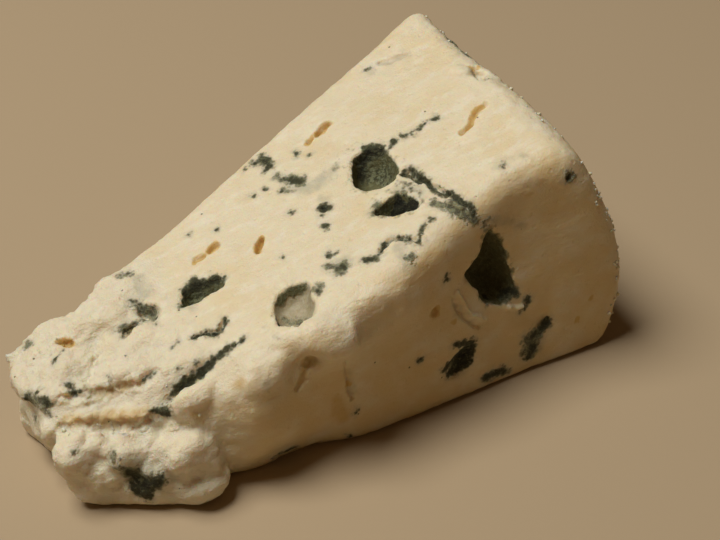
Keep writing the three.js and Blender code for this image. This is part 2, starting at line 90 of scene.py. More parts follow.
# Marks are chains of beads: a place on the face's two axes and a radius, in millimetres. The beads of a
# chain that goes "inside" have all three axes.
MOULD = (
    # crack from the upper hollow along the bridge and the band to the front edge
    *on(
        "top",
        ((15.1, -6.7, 0.5), (16.0, -7.3, 0.5), (16.2, -9.3, 0.54), (16.4, -11.9, 0.58)),
        (
            (16.4, -11.9, 0.58), (16.6, -14.1, 0.62), (17.2, -15.3, 0.58), (17.9, -17.7, 0.55),
            (19.0, -19.7, 0.6),
        ),
        ((14.8, -6.6, 0.38), (15.5, -8.3, 0.38), (15.7, -10.2, 0.36)),
    ),
    *on("front", (20.2, 28.4, 0.4)),
    # dots up from the upper hollow
    *on(
        "top",
        ((16.5, -0.4, 0.4), (17.7, 0.2, 0.4)), ((18.7, 0.1, 0.36), (19.3, -0.1, 0.32)),
        ((20.0, -0.4, 0.36), (21.0, -0.4, 0.4), (22.8, -0.5, 0.3)), ((24.0, -0.5, 0.3), (24.8, -0.4, 0.25)),
    ),
    # arc toward the front edge, with its dots
    *on(
        "top",
        ((4.4, -17.9, 0.28), (5.1, -17.3, 0.3), (6.6, -17.1, 0.26), (7.9, -17.6, 0.3), (8.8, -19.4, 0.44)),
        (
            (8.8, -19.4, 0.44), (9.5, -20.1, 0.4), (10.0, -19.6, 0.28), (10.7, -18.6, 0.26),
            (11.8, -18.0, 0.22),
        ),
        ((2.0, -17.9, 0.58), (3.2, -18.9, 0.4), (4.4, -18.2, 0.4)), (12.7, -17.6, 0.5),
    ),
    # dotted cluster and patch near the back edge
    *on(
        "top",
        ((0.4, 12.1, 0.6), (1.6, 12.4, 0.6), (1.5, 10.9, 0.65), (1.2, 9.4, 0.7)),
        ((1.5, 6.3, 0.35), (1.8, 5.0, 0.45), (2.5, 3.9, 0.68), (3.5, 3.2, 0.6)), (0.1, 3.5, 0.4),
        ((5.5, 8.4, 0.3), (6.0, 8.9, 0.34)),
    ),
    # two dots in the middle, and specks
    *on(
        "top",
        (3.0, -4.5, 0.9), (1.3, -7.6, 0.6), (1.9, -5.7, 0.26), (-1.6, 12.2, 0.3), (-1.4, 5.8, 0.26),
        (-3.5, 5.9, 0.28), (-0.8, -1.4, 0.3), (-10.5, 3.8, 0.34), (-14.1, 5.8, 0.24), (6.9, 7.2, 0.22),
        (-6.4, -8.6, 0.22), (25.8, -17.1, 0.38), (23.0, 17.3, 0.36), ((34.2, 2.4, 0.4), (34.3, 1.6, 0.45)),
    ),
    # speckles above the grey pot
    *on(
        "top",
        ((-1.6, -13.2, 0.28), (-0.9, -13.1, 0.3), (-0.6, -13.7, 0.24)),
        ((-2.0, -17.0, 0.4), (-0.9, -17.1, 0.45)), (-6.0, -18.3, 0.45),
    ),
    # curved crack below the slot
    *on(
        "top",
        ((-17.9, -13.2, 0.26), (-18.3, -13.8, 0.34), (-19.1, -14.4, 0.46), (-20.0, -14.4, 0.56)),
        ((-20.0, -14.4, 0.56), (-21.3, -13.3, 0.52), (-22.0, -13.0, 0.4), (-22.8, -13.0, 0.26)),
    ),
    # walls of the slot, the upper hollow and the kite-shaped hole: mould laid on the walls that lie in
    # shade, so it is partly painted shade
    *on(
        "inside",
        (
            (-19.7, -4.0, 19.8, 0.7), (-17.9, -3.7, 20.5, 1.0), (-16.9, -4.3, 20.3, 0.8),
            (-15.3, -5.0, 21.3, 0.8),
        ),
        ((-15.3, -5.0, 21.3, 0.8), (-14.5, -5.4, 21.7, 0.5)),
        ((12.1, 0.9, 26.1, 0.9), (12.6, 1.7, 28.1, 1.0), (13.8, 1.6, 29.6, 1.1), (15.5, 0.2, 30.2, 0.9)),
        (20.5, -21.2, 15.0, 0.8), ((23.7, -21.8, 14.6, 1.0), (25.0, -22.4, 14.8, 0.9)),
    ),
    # tip's cleft and its dots, and above it the dark notch, which is painted shadow
    *on(
        "inside",
        (
            (-17.6, -18.2, 20.7, 0.26), (-20.4, -17.9, 19.4, 0.42), (-23.3, -17.6, 17.7, 0.6),
            (-25.6, -17.5, 16.3, 0.66),
        ),
        ((-25.6, -17.5, 16.3, 0.66), (-27.8, -17.3, 15.2, 0.66), (-29.0, -18.0, 14.6, 0.4)),
        ((-30.1, -18.8, 13.6, 0.7), (-31.2, -18.1, 13.5, 0.5)),
        ((-29.7, -13.9, 16.4, 0.26), (-30.8, -13.8, 16.0, 0.3)),
    ),
    *on("top", (-24.2, -17.0, 0.35), (-26.6, -16.4, 0.3)),
    # tip: dots, a round spot and the crumbled pocket
    *on(
        "top",
        ((-39.9, -3.6, 0.28), (-39.0, -2.8, 0.38), (-38.4, -2.6, 0.25)),
        ((-39.9, -8.0, 0.34), (-39.4, -9.0, 0.56), (-38.6, -10.0, 0.34)), (-34.9, -10.8, 0.25),
    ),
    *on(
        "inside",
        ((-26.4, -0.7, 18.7, 0.3), (-25.3, -1.8, 18.3, 0.3)), (-24.8, -2.9, 17.6, 0.36),
        (-24.3, -4.6, 17.7, 0.34), (-26.6, -2.6, 18.9, 0.26), (-25.6, -6.5, 18.8, 0.3),
        ((-30.0, -4.9, 17.1, 0.34), (-29.1, -4.5, 17.4, 0.42), (-28.2, -4.2, 17.7, 0.2)),
    ),
    *on("top", (-24.5, 4.6, 0.38)),
    *on(
        "tip",
        (-4.4, 11.6, 0.5), (-5.9, 13.3, 0.5), (-8.1, 13.1, 0.65), (-8.6, 11.7, 0.38), (-5.1, 8.0, 0.34),
    ),
    # lump
    *on(
        "inside",
        (
            (-37.1, -20.5, 7.2, 0.6), (-35.8, -21.4, 5.4, 1.1), (-34.9, -22.5, 5.0, 1.3),
            (-33.5, -23.0, 6.1, 0.8),
        ),
        ((-36.7, -21.3, 4.3, 0.9), (-35.4, -22.4, 3.2, 1.0)),
    ),
    *on("front", (-38.3, 9.4, 0.4)),
    # front: patches and dots
    *on(
        "front",
        ((11.4, 7.1, 0.3), (13.2, 7.3, 0.8), (15.0, 6.9, 1.25), (16.2, 7.6, 1.2), (16.7, 9.4, 0.8)),
        ((13.9, 10.6, 0.45), (15.3, 10.2, 0.55), (16.7, 9.7, 0.7)),
        ((16.0, 6.2, 1.0), (14.4, 5.6, 1.0), (12.5, 5.8, 0.5)),
        ((30.5, 7.8, 0.9), (29.5, 7.1, 0.75), (27.8, 6.3, 0.5)), ((27.5, 4.6, 0.7), (26.9, 2.8, 0.5)),
        ((18.9, 2.5, 0.45), (20.9, 2.5, 0.62), (22.9, 1.8, 0.42)), (7.4, 10.9, 0.45), (12.4, 22.8, 0.5),
        ((27.4, 13.5, 0.42), (26.5, 12.2, 0.42)), (33.9, 32.2, 0.4), (-3.4, 5.7, 0.4), (-4.2, 0.9, 0.4),
        ((-15.6, 1.4, 0.5), (-14.0, 1.6, 0.7), (-12.6, 1.2, 0.6)),
    ),
    # back, rind and base, finished like what shows
    *on(
        "back",
        ((20.0, 19.4, 0.7), (24.0, 21.0, 1.1), (28.0, 22.6, 0.7), (30.4, 25.2, 0.45), (31.4, 28.0, 0.4)),
        ((3.2, 15.4, 0.8), (5.4, 13.6, 1.1), (7.6, 12.0, 0.6), (9.0, 9.2, 0.42), (8.4, 6.6, 0.36)),
        ((-14.0, 9.0, 0.5), (-11.6, 9.8, 0.7), (-8.4, 9.0, 0.4), (-6.2, 9.6, 0.34)),
        ((13.0, 27.6, 0.5), (14.6, 25.4, 0.6), (14.0, 22.4, 0.4), (15.2, 20.2, 0.36)),
        ((-25.0, 12.0, 0.6), (-23.6, 11.2, 0.4)), ((34.0, 9.6, 0.8), (31.2, 7.6, 0.6), (28.6, 7.2, 0.4)),
        ((-3.0, 4.6, 0.6), (-0.6, 5.6, 0.7), (1.4, 5.0, 0.4)), (-6.4, 15.8, 0.4), (18.6, 11.4, 0.45),
        ((22.6, 4.6, 0.5), (24.4, 3.8, 0.4)),
    ),
    *on(
        "rind",
        ((8.0, 24.0, 0.5), (10.2, 26.0, 0.7), (11.6, 26.4, 0.4)), ((-9.0, 12.6, 0.5), (-7.2, 13.6, 0.6)),
        ((18.0, 11.0, 0.7), (15.0, 8.4, 0.5)), (-14.6, 24.0, 0.45),
    ),
    *on(
        "under",
        ((10.0, 4.0, 0.7), (14.0, 6.4, 0.9), (17.4, 5.6, 0.5)), ((-8.0, -9.0, 0.6), (-4.0, -10.6, 0.8)),
        ((24.0, -12.0, 0.7), (27.0, -10.0, 0.5)),
    ),
)
# Pale powder on the mould and round it.
BLOOM = (
    # speckled band to the front edge, and the curd between the hollows
    *on(
        "top",
        (
            (15.1, -15.6, 0.85), (15.9, -16.9, 1.0), (16.6, -18.5, 1.15), (17.8, -19.5, 1.15),
            (19.1, -20.2, 1.0),
        ),
    ),
    *on("front", (20.6, 28.2, 0.6)),
    *on(
        "top",
        ((13.9, -8.2, 0.4), (14.6, -9.6, 0.45)), ((7.4, -10.3, 0.5), (8.8, -9.6, 0.6), (9.6, -11.4, 0.9)),
        (7.1, -22.1, 0.7), ((8.2, -18.9, 0.5), (9.2, -20.0, 0.7)),
    ),
    # floors of the upper hollow, the slot and the grey pot
    *on(
        "inside",
        ((13.2, -0.2, 25.7, 0.9), (14.9, -1.3, 27.3, 1.6), (14.8, -3.3, 27.2, 1.5)),
        (
            (-16.1, -4.9, 20.0, 0.5), (-17.5, -4.5, 19.1, 0.8), (-19.0, -4.2, 18.6, 0.8),
            (-21.0, -5.9, 19.3, 0.6),
        ),
        ((-10.6, -17.9, 20.5, 0.5), (-9.4, -19.1, 20.9, 0.6), (-8.1, -19.2, 21.3, 0.5)),
    ),
    # cluster and patch near the back edge
    *on(
        "top",
        ((0.5, 12.3, 0.75), (1.6, 12.1, 0.85), (1.2, 9.4, 0.85)),
        ((1.1, 7.0, 0.5), (1.8, 5.0, 0.9), (3.2, 3.2, 1.0)), ((0.2, 3.7, 0.5), (1.2, 2.1, 0.45)),
    ),
    # speckles above the grey pot
    *on(
        "top",
        ((-2.3, -15.2, 0.7), (-1.8, -17.0, 0.95), (-0.7, -17.0, 0.7)),
        ((-6.0, -18.1, 0.8), (-5.1, -17.6, 0.55)), (-1.0, -13.5, 0.5),
    ),
    # slot's lower end, pocket and tip
    *on("top", ((-21.2, -6.4, 0.7), (-19.8, -6.9, 0.6))),
    *on(
        "inside",
        (
            (-30.0, -4.4, 17.6, 0.6), (-28.5, -4.4, 18.0, 0.6), (-26.5, -5.5, 18.8, 0.6),
            (-25.0, -3.8, 18.0, 1.0),
        ),
        ((-25.0, -3.0, 18.0, 0.9), (-26.5, -1.5, 18.8, 0.6)),
    ),
    *on(
        "top",
        ((-25.5, 5.1, 0.6), (-24.6, 4.4, 0.6)), (-25.2, -12.2, 0.4), (-41.4, 4.1, 0.75), (-39.4, -3.0, 0.6),
        (-39.5, -8.9, 0.8),
    ),
    *on("tip", (-2.3, 9.6, 0.7), ((-4.6, 11.6, 0.9), (-8.0, 13.0, 1.0)), (-5.4, 8.8, 0.75)),
    # lump
    *on(
        "inside",
        (
            (-38.5, -19.0, 9.4, 0.6), (-37.6, -20.3, 8.0, 1.0), (-36.2, -21.2, 6.0, 1.6),
            (-34.6, -22.6, 5.2, 1.7),
        ),
        ((-34.6, -22.6, 5.2, 1.7), (-33.2, -23.0, 6.1, 1.0)),
    ),
    *on("top", (-43.0, -16.8, 0.5)),
    # front patches
    *on(
        "front",
        ((16.6, 9.0, 1.2), (15.6, 7.0, 1.7), (13.6, 7.1, 1.2), (12.0, 7.0, 0.6)),
        ((29.9, 7.3, 1.1), (28.0, 6.0, 1.2), (27.1, 3.8, 1.4)), ((26.3, 6.6, 0.7), (27.4, 5.4, 1.0)),
        ((18.9, 2.5, 0.65), (21.3, 2.3, 0.85), (23.1, 1.8, 0.6)), ((27.3, 13.4, 0.7), (26.3, 12.3, 0.7)),
        ((-14.6, 1.6, 0.9), (-12.8, 1.4, 0.8)), (33.9, 32.2, 0.95),
    ),
    *on(
        "top",
        (26.1, -16.4, 0.5), ((13.0, -9.6, 0.4), (13.2, -11.0, 0.5)),
        ((14.4, -9.3, 0.3), (14.0, -10.7, 0.3), (14.5, -12.1, 0.3)),
    ),
    # far edge of the rind
    *on("rind", ((6.0, 35.1, 0.6), (11.0, 35.3, 0.7), (16.0, 35.3, 0.6))),
    # back, rind and base
    *on(
        "back",
        ((22.0, 18.6, 1.2), (27.0, 21.0, 1.4), (30.8, 26.4, 0.7)),
        ((4.0, 15.6, 1.2), (7.6, 11.8, 1.1), (8.8, 8.4, 0.7)), ((13.8, 24.6, 0.95), (14.8, 21.4, 0.7)),
        ((-12.0, 9.4, 1.0), (-7.6, 9.4, 0.7)), ((33.0, 8.6, 1.1), (29.4, 7.2, 0.8)),
    ),
    *on(
        "rind",
        ((14.0, 30.0, 0.8), (18.0, 31.4, 1.1), (21.0, 30.6, 0.8)), ((-2.0, 9.0, 1.0), (2.0, 10.0, 0.8)),
        (9.0, 25.0, 0.9),
    ),
    *on("under", ((12.0, 5.0, 1.5), (16.0, 5.8, 1.1))),
)
# Greyish tints round the mould.
HALO = (
    *on(
        "top",
        ((1.7, 3.0, 1.3), (3.0, 1.3, 1.3), (4.3, 0.6, 1.0), (6.9, 1.4, 0.7), (8.5, 1.9, 0.6)),
        (1.1, 11.4, 1.3), (25.6, -16.6, 0.85), (3.7, -2.6, 0.6), ((-1.6, -15.6, 1.4), (-0.2, -16.2, 1.1)),
        ((13.0, -9.1, 0.9), (14.3, -10.4, 1.1), (14.6, -12.5, 0.9)), ((6.7, -19.1, 0.9), (6.4, -22.3, 0.9)),
        (23.1, 17.1, 0.8), (33.4, 4.2, 0.8), (-20.5, -7.4, 0.85), ((-24.6, -0.6, 1.2), (-24.0, 2.4, 1.0)),
    ),
    *on("front", ((-37.8, 9.8, 0.9), (-37.1, 8.5, 1.4), (-35.0, 7.0, 1.4), (-32.3, 6.4, 1.1))),
    *on("tip", (-6.0, 11.0, 1.8)),
    *on("back", (25.0, 21.4, 2.2), (5.4, 13.4, 2.0)),
    *on("rind", ((8.0, 35.0, 1.0), (16.0, 35.2, 1.0))),
)
# Walls of hollows: a chain that covers the mouth, coloured only where the face is hollow.
OLIVE = (
    *on(
        "top",
        ((12.2, 0.2, 4.6), (12.2, -3.8, 4.4)), ((8.6, -10.4, 2.2), (11.8, -11.8, 3.0)),
        ((-20.6, -5.2, 2.4), (-16.0, -5.4, 2.2)),
        ((-11.2, -15.2, 0.5), (-9.0, -14.2, 0.6), (-6.6, -15.2, 0.5)),
    ),
    *on("front", ((21.0, 27.0, 0.8), (21.1, 23.6, 2.5), (20.6, 20.6, 3.8), (22.0, 16.6, 3.5))),
    *on("back", ((21.6, 20.0, 3.2), (26.4, 22.0, 3.2)), (5.0, 14.0, 4.6)),
)
# Clefts whose edges stay sharp.
CLEFTS = (
    *on(
        "top",
        ((-17.6, -18.2, 1.0), (-24.2, -17.5, 1.4), (-30.4, -17.8, 1.4)),
        ((-40.0, -9.6, 1.0), (-35.0, -11.8, 1.2), (-31.0, -13.8, 1.2), (-27.0, -13.9, 0.9)),
        ((-30.2, -5.0, 0.9), (-28.6, -4.4, 0.9)), ((-26.2, -0.8, 1.4), (-25.2, -4.2, 1.6)),
        ((-41.0, -15.4, 1.0), (-36.0, -16.6, 1.4), (-31.0, -18.6, 1.4)),
    ),
)
GREY = (
    *on("top", ((-11.4, -19.6, 3.2), (-8.6, -16.2, 3.6))),
    *on("back", (-12.0, 9.5, 3.0)),
)
# Walls of the darkest hollows, near black where they lie deepest: partly dark mould, partly painted
# shade.
PITCH_AND_SHADE = (
    *on("top", ((11.8, -11.2, 1.3), (12.9, -13.0, 1.0)), ((-12.6, -17.6, 0.3), (-12.4, -19.6, 0.3))),
    *on("back", ((24.8, 21.6, 1.2), (27.4, 22.6, 1.0))),
)
# Clear yellow slots.
AMBER = (
    *on(
        "top",
        ((10.0, 10.2, 0.5), (11.5, 10.7, 0.68), (12.3, 10.8, 0.55)), ((8.3, 9.8, 0.5), (9.0, 10.0, 0.35)),
        ((-6.7, -3.2, 0.4), (-7.5, -4.1, 0.5), (-8.3, -4.9, 0.4)), ((-13.4, 0.3, 0.45), (-12.4, 0.7, 0.62)),
        ((-15.8, 0.3, 0.5), (-14.6, 0.2, 0.5)), ((-38.4, -0.1, 0.6), (-36.8, -1.8, 0.6)),
        ((25.3, -6.1, 0.45), (26.2, -6.0, 0.4), (27.3, -5.4, 0.26), (28.9, -4.1, 0.34), (30.5, -3.6, 0.2)),
        ((34.2, 5.2, 0.6), (35.2, 5.0, 0.45)),
    ),
    *on(
        "front",
        (-4.6, 11.6, 0.4), (10.2, 18.2, 0.8), (13.6, 15.0, 0.3), (37.8, 9.9, 0.5), (35.6, 6.7, 0.5),
    ),
    *on(
        "back",
        ((-20.0, 13.4, 0.6), (-17.6, 13.8, 0.4)), ((10.0, 6.4, 0.6), (12.2, 5.8, 0.5)),
        ((27.0, 12.6, 0.5), (28.4, 13.6, 0.6)),
    ),
    *on("rind", ((-4.0, 27.0, 0.5), (-2.4, 28.0, 0.5))),
)
# Painted warm shade under the tip's ledges and in dents on the front, a painted shadow line under
# the upper strata, and warm smudges.
WARM_SHADE_AND_SMUDGES = (
    *on(
        # painted warm shade under the tip's ledge, then a painted shadow line under the upper strata
        "inside",
        (
            (-42.2, -11.2, 11.5, 0.5), (-40.4, -12.9, 12.0, 0.8), (-38.6, -13.7, 12.0, 1.0),
            (-36.8, -14.7, 11.9, 1.1),
        ),
        (
            (-36.8, -14.7, 11.9, 1.1), (-35.1, -16.2, 12.4, 1.1), (-33.3, -17.2, 12.9, 1.1),
            (-31.7, -17.6, 13.3, 0.7),
        ),
        ((-36.5, -11.1, 13.8, 0.4), (-34.0, -12.4, 14.6, 0.5), (-31.4, -13.7, 15.8, 0.6)),
    ),
    *on(
        "front",
        # painted warm shade in dents, and warm smudges
        ((-10.4, 18.6, 0.6), (-11.2, 17.2, 0.7), (-12.2, 15.6, 0.7)), (-20.7, 17.4, 0.9),
        (-26.6, 13.2, 0.8), ((-6.4, 9.6, 0.7), (-6.0, 7.2, 1.2), (-5.2, 4.8, 0.8)),
    ),
    *on("back", ((-20.0, 10.0, 0.9), (-18.0, 9.4, 0.7))),
)
# Grey stains; some are painted shade: a shadow line under the tip's upper strata, one beside the
# flake on the front, and shade in dents on the front.
STAINS_AND_SHADOW_LINES = (
    *on(
        "front",
        ((21.5, 28.0, 0.6), (24.2, 27.2, 0.6), (26.4, 25.5, 0.45)), (33.9, 32.0, 1.1),
        # painted shade in a dent, then stains
        ((-10.4, 18.6, 0.5), (-11.2, 17.2, 0.6), (-12.2, 15.6, 0.6)), (-17.7, 17.6, 0.5),
        ((-4.6, 14.0, 0.3), (-3.8, 9.4, 0.3)), (-35.8, 5.4, 2.2), (28.4, 5.6, 1.8),
    ),
    *on("top", ((25.5, 17.2, 0.5), (26.8, 16.4, 0.55), (28.7, 15.9, 0.5)), (28.4, -17.0, 0.6)),
    # painted shadow line under the tip's upper strata
    *on("inside", ((-37.9, -10.7, 13.6, 0.35), (-35.3, -11.8, 14.2, 0.4), (-32.9, -13.3, 15.1, 0.45))),
    # painted shadow line beside the flake
    *on("front", ((14.3, 16.9, 0.3), (15.2, 15.0, 0.3), (16.6, 13.4, 0.3))),
    *on("tip", (-6.0, 11.4, 2.0)),
    *on("back", (24.0, 20.8, 2.6), (-11.0, 9.4, 1.5)),
    *on("rind", ((-13.0, 18.0, 2.4), (-4.0, 20.0, 2.0)), (10.0, 16.0, 2.4)),
)

# Pressed-in marks: a chain and its depth in millimetres.
PITS = (
    ("top", ((10.0, 10.2, 0.5), (11.5, 10.7, 0.7), (12.3, 10.8, 0.6)), 1.1),
    ("top", ((8.3, 9.8, 0.5), (9.0, 10.0, 0.35)), 0.8),
    ("top", ((-6.7, -3.2, 0.4), (-7.5, -4.1, 0.55), (-8.3, -4.9, 0.4)), 1.3),
    ("top", ((-13.4, 0.3, 0.45), (-12.4, 0.7, 0.65)), 1.0),
    ("top", ((-15.8, 0.3, 0.5), (-14.6, 0.2, 0.5)), 0.5),
    ("top", ((-38.4, -0.1, 0.55), (-36.8, -1.8, 0.55)), 1.0),
    ("top", ((25.3, -6.1, 0.45), (26.2, -6.0, 0.45), (27.3, -5.4, 0.3)), 0.9),
    ("top", ((27.3, -5.4, 0.4), (28.9, -4.1, 0.6), (31.0, -3.6, 0.5)), 0.6),
    ("top", ((25.5, 17.2, 0.6), (26.8, 16.4, 0.7), (28.7, 15.9, 0.6)), 0.4),
    ("top", (
        (-17.9, -13.2, 0.2), (-19.1, -14.4, 0.36), (-20.0, -14.4, 0.46), (-21.3, -13.3, 0.42),
        (-22.8, -13.0, 0.2),
    ), 0.9),
    ("top", (
        (15.1, -6.7, 0.3), (16.0, -7.3, 0.3), (16.2, -9.3, 0.32), (16.4, -11.9, 0.36), (17.2, -15.3, 0.36),
    ), 0.9),
    ("top", ((14.8, -6.6, 0.3), (15.5, -8.3, 0.3), (15.7, -10.2, 0.3)), 0.7),
    ("top", ((4.4, -17.9, 0.35), (6.6, -17.1, 0.35), (7.9, -17.6, 0.35), (9.5, -20.1, 0.4)), 0.6),
    ("top", ((3.0, -4.5, 0.6),), 0.4),
    ("top", ((-34.7, -5.6, 0.3), (-37.6, -8.3, 0.3)), 0.6),
    ("inside", (
        (-42.9, -11.9, 10.7, 0.9), (-40.8, -13.4, 11.3, 1.0), (-38.9, -14.4, 11.2, 1.1),
        (-37.0, -15.1, 10.9, 1.1),
    ), 0.6),
    ("inside", (
        (-37.0, -15.1, 10.9, 1.1), (-35.4, -16.6, 11.5, 1.1), (-33.5, -17.5, 12.0, 1.0),
        (-31.9, -18.0, 12.7, 0.7),
    ), 0.6),
    ("inside", ((-12.4, -24.9, 18.6, 3.4), (-11.4, -24.8, 18.8, 3.4)), 0.35),
    ("inside", ((-1.0, -26.2, 22.2, 3.6), (1.0, -26.0, 22.8, 3.6)), 0.5),
    ("inside", (
        (-41.4, -9.2, 13.6, 0.5), (-38.5, -10.2, 13.4, 0.6), (-35.3, -11.8, 14.2, 0.6),
        (-31.8, -13.7, 15.7, 0.6),
    ), 0.4),
    ("top", ((34.6, 3.4, 1.1), (34.2, 2.0, 0.8)), 1.0),
    ("top", ((34.2, 5.2, 0.4), (35.2, 5.0, 0.4)), 0.6),
    ("front", ((33.9, 32.0, 0.7),), 0.5),
    ("front", ((-10.6, 18.2, 0.7), (-12.0, 16.0, 0.8), (-12.9, 14.8, 0.6)), 0.5),
    ("front", ((-5.4, 16.9, 0.25), (-4.6, 11.7, 0.4), (-3.9, 8.6, 0.25)), 0.5),
    ("front", ((10.2, 18.2, 0.8),), 0.4),
    ("front", (
        (13.7, 18.8, 0.3), (14.3, 16.9, 0.35), (15.2, 15.0, 0.35), (16.6, 13.4, 0.35), (18.0, 12.1, 0.3),
    ), 0.5),
    ("front", ((-15.4, 0.9, 0.7), (-12.4, 0.7, 0.8), (-8.8, 0.6, 0.7)), 1.0),
)
# Raised marks: a chain and its height in millimetres.
RIDGES = (
    # puffs of the broken tip and its lump
    ("inside", ((-31.4, -1.2, 18.1, 2.4), (-29.0, -0.7, 18.4, 2.4)), 0.65),
    ("inside", ((-33.3, -11.0, 16.0, 1.3), (-31.9, -11.4, 16.6, 1.3)), 0.6),
    ("inside", ((-40.1, -5.7, 14.7, 1.6), (-38.2, -5.4, 14.8, 1.6)), 0.5),
    ("inside", ((-42.2, -15.2, 10.8, 1.3),), 0.6),
    ("inside", ((-39.4, -16.2, 10.6, 1.5),), 0.6),
    ("inside", ((-36.0, -17.6, 10.3, 1.7),), 0.7),
    ("inside", ((-32.7, -18.6, 9.9, 1.7),), 0.7),
    ("inside", ((-29.6, -20.0, 10.6, 1.6),), 0.6),
    ("inside", ((-27.4, -20.6, 15.4, 1.8), (-25.2, -20.6, 16.1, 1.9)), 0.7),
    ("inside", ((-44.3, 1.1, 12.0, 1.6), (-44.6, -3.0, 11.8, 1.6)), 0.7),
    # lobes of the soft edge between top and front
    ("inside", ((-9.0, -24.8, 22.0, 3.8), (-6.0, -25.8, 21.2, 3.6)), 1.1),
    ("inside", ((-18.2, -24.0, 18.0, 3.2), (-15.6, -24.2, 18.4, 3.0)), 0.6),
    # flake and crumbs at the hollows
    ("front", (
        (14.6, 19.4, 0.25), (15.3, 17.4, 0.35), (16.3, 15.4, 0.42), (17.6, 14.0, 0.36), (19.2, 12.6, 0.25),
    ), 0.7),
    ("front", ((23.6, 13.0, 0.4), (25.6, 12.5, 0.4)), 0.7),
    ("top", ((16.4, -16.6, 0.5), (17.4, -18.6, 0.5)), 0.4),
    ("top", ((32.0, 6.6, 1.4), (33.0, 4.8, 1.2)), 0.6),
)

# Marks that colour the skin where they lie, some of them painted shade, and hollows whose walls have a
# colour of their own, the darkest of them partly painted shade.
MARKS = {"mould": MOULD, "bloom": BLOOM, "halo": HALO, "amber": AMBER, "honey": WARM_SHADE_AND_SMUDGES, "stain": STAINS_AND_SHADOW_LINES}
HOLLOWS = {"olive": OLIVE, "grey": GREY, "pitch": PITCH_AND_SHADE}

# Noise that takes the evenness out of outlines: its span and its reach.
MARK_DRIFTS = ((2.2 * MM, 0.5 * MM), (0.8 * MM, 0.22 * MM))
PRESS_DRIFT = (1.3 * MM, 0.35 * MM)
# A pressed mark starts this far outside its beads, and is at full depth at this share of its widest radius.
PRESS_RIM = 0.22 * MM
PRESS_FLOOR = 0.65
# A mark narrower than this gets a finer skin, also this far round it.
SMALL_MARK = 1.2 * MM
FINE_MARGIN = 0.45 * MM
# The least depth that is written for a mark, and one that is lower than any, in metres.
UNMARKED = -0.02
NOWHERE = -1.0

# Where the paste is broken or crumbly, in millimetres: each pair is where a swing starts and ends.
TIP_BREAK = (-32, -17)
RIND_RIM = (28, 37)
FRONT_MARGIN = (1.0, 3.5)
BACK_MARGIN = (0.5, 2.5)
EDGE_DEPTH = (-24.5, -19)
EDGE_FOOT = (13, 20)
EDGE_END = (-4, 14)
FOOT = (0.2, 2.2)
# How crumbly the soft edge and the cut faces are.
EDGE_CRUMBLE = 0.3
CUT_CRUMBLE = 0.04

# Rounds of smoothing on cut faces, everywhere and on the walls of hollows. Everywhere it goes out and
# back, so that the forms keep their size.
CUT_ROUNDS = 40
EVEN_ROUNDS = 4
WALL_ROUNDS = 14
EVEN_STEP = 0.5
EVEN_RETURN = -0.53
# Broken faces count this much more when the cut ones are smoothed.
BROKEN_GUARD = 1.4
# A hollow's walls start this far behind its face, and its rim reaches this far round it.
WALL_START = 1.3 * MM
RIM_REACH = 0.8 * MM
# Lower points than this are set on the ground.
GROUND = 0.12 * MM

# Where the rind starts, in millimetres, and how far the rind and the front are turned outward; the front
# faces away from the key light, and its crust tint is painted warm shade.
RIND_START = (30, 38)
RIND_TURN = (0.3, 0.75)
FRONT_SHADE_TURN = (0.35, 0.8)

# Number of crumb shapes, and how far apart they are made, so that the noise forms each in its own way.
CRUMB_SHAPES = 4
CRUMB_SPACING = 5.0
# A crumb's size and stretch, and how far it stands off the paste, as shares of the usual radius or its own.
CRUMB_SIZES = (0.5, 1.5)
CRUMB_STRETCH = (0.75, 1.25)
CRUMB_LIFT = 0.1
# How likely crumbs are on the rims of the rind and on the tip.
RIM_CRUMBS = 2.2
TIP_CRUMBS = 0.06

# Soft lights, in metres: place, size and colour.
LIGHTS = {
    "key": ((-0.27, 0.14, 0.74), 0.42, (1, 0.95, 0.86)),
    "fill": ((-0.25, -0.7, 0.35), 0.6, (1, 0.55, 0.22)),
}
# Colour of the light from all round, size of the floor in metres, and the camera's sensor in millimetres.
AIR_COLOUR = (1, 0.62, 0.33, 1)
FLOOR_SIZE = 6
SENSOR = 36


def length(name, note, size):
    """A setting for a length, its usual value given in millimetres."""
    return FloatProperty(name=name, description=note, default=size * MM, unit="LENGTH", precision=5)


def tint(name, note, colour):
    """A setting for a colour."""
    return FloatVectorProperty(name=name, description=note, subtype="COLOR", default=colour, min=0, max=1)


def angle(name, note, degrees):
    """A setting for an angle, its usual value given in degrees."""
    return FloatProperty(name=name, description=note, default=math.radians(degrees), subtype="ANGLE")


def power(name, note, watts):
    """A setting for the power of a light."""
    return FloatProperty(name=name, description=note, default=watts, min=0, unit="POWER")


class CheeseSizes(PropertyGroup):
    """Sizes of the paste's skin and its crumbs."""

    skin: length("Skin", "Spacing of the points on the skin", 0.43)
    crumble: length("Crumble", "Height of the lumps on broken faces", 1.15)
    grain: length("Grain", "Height of the grain on broken faces", 0.42)
    chips: length("Chips", "Height of the chips at the hollows", 0.2)
    wire_marks: length("Wire marks", "Height of the waves on cut faces", 0.4)
    crumb: length("Crumb", "Radius of a usual crumb", 0.24)
    crumbs: IntProperty(
        name="Crumbs", description="Number of crumbs on the edges and the tip", default=110, min=0
    )


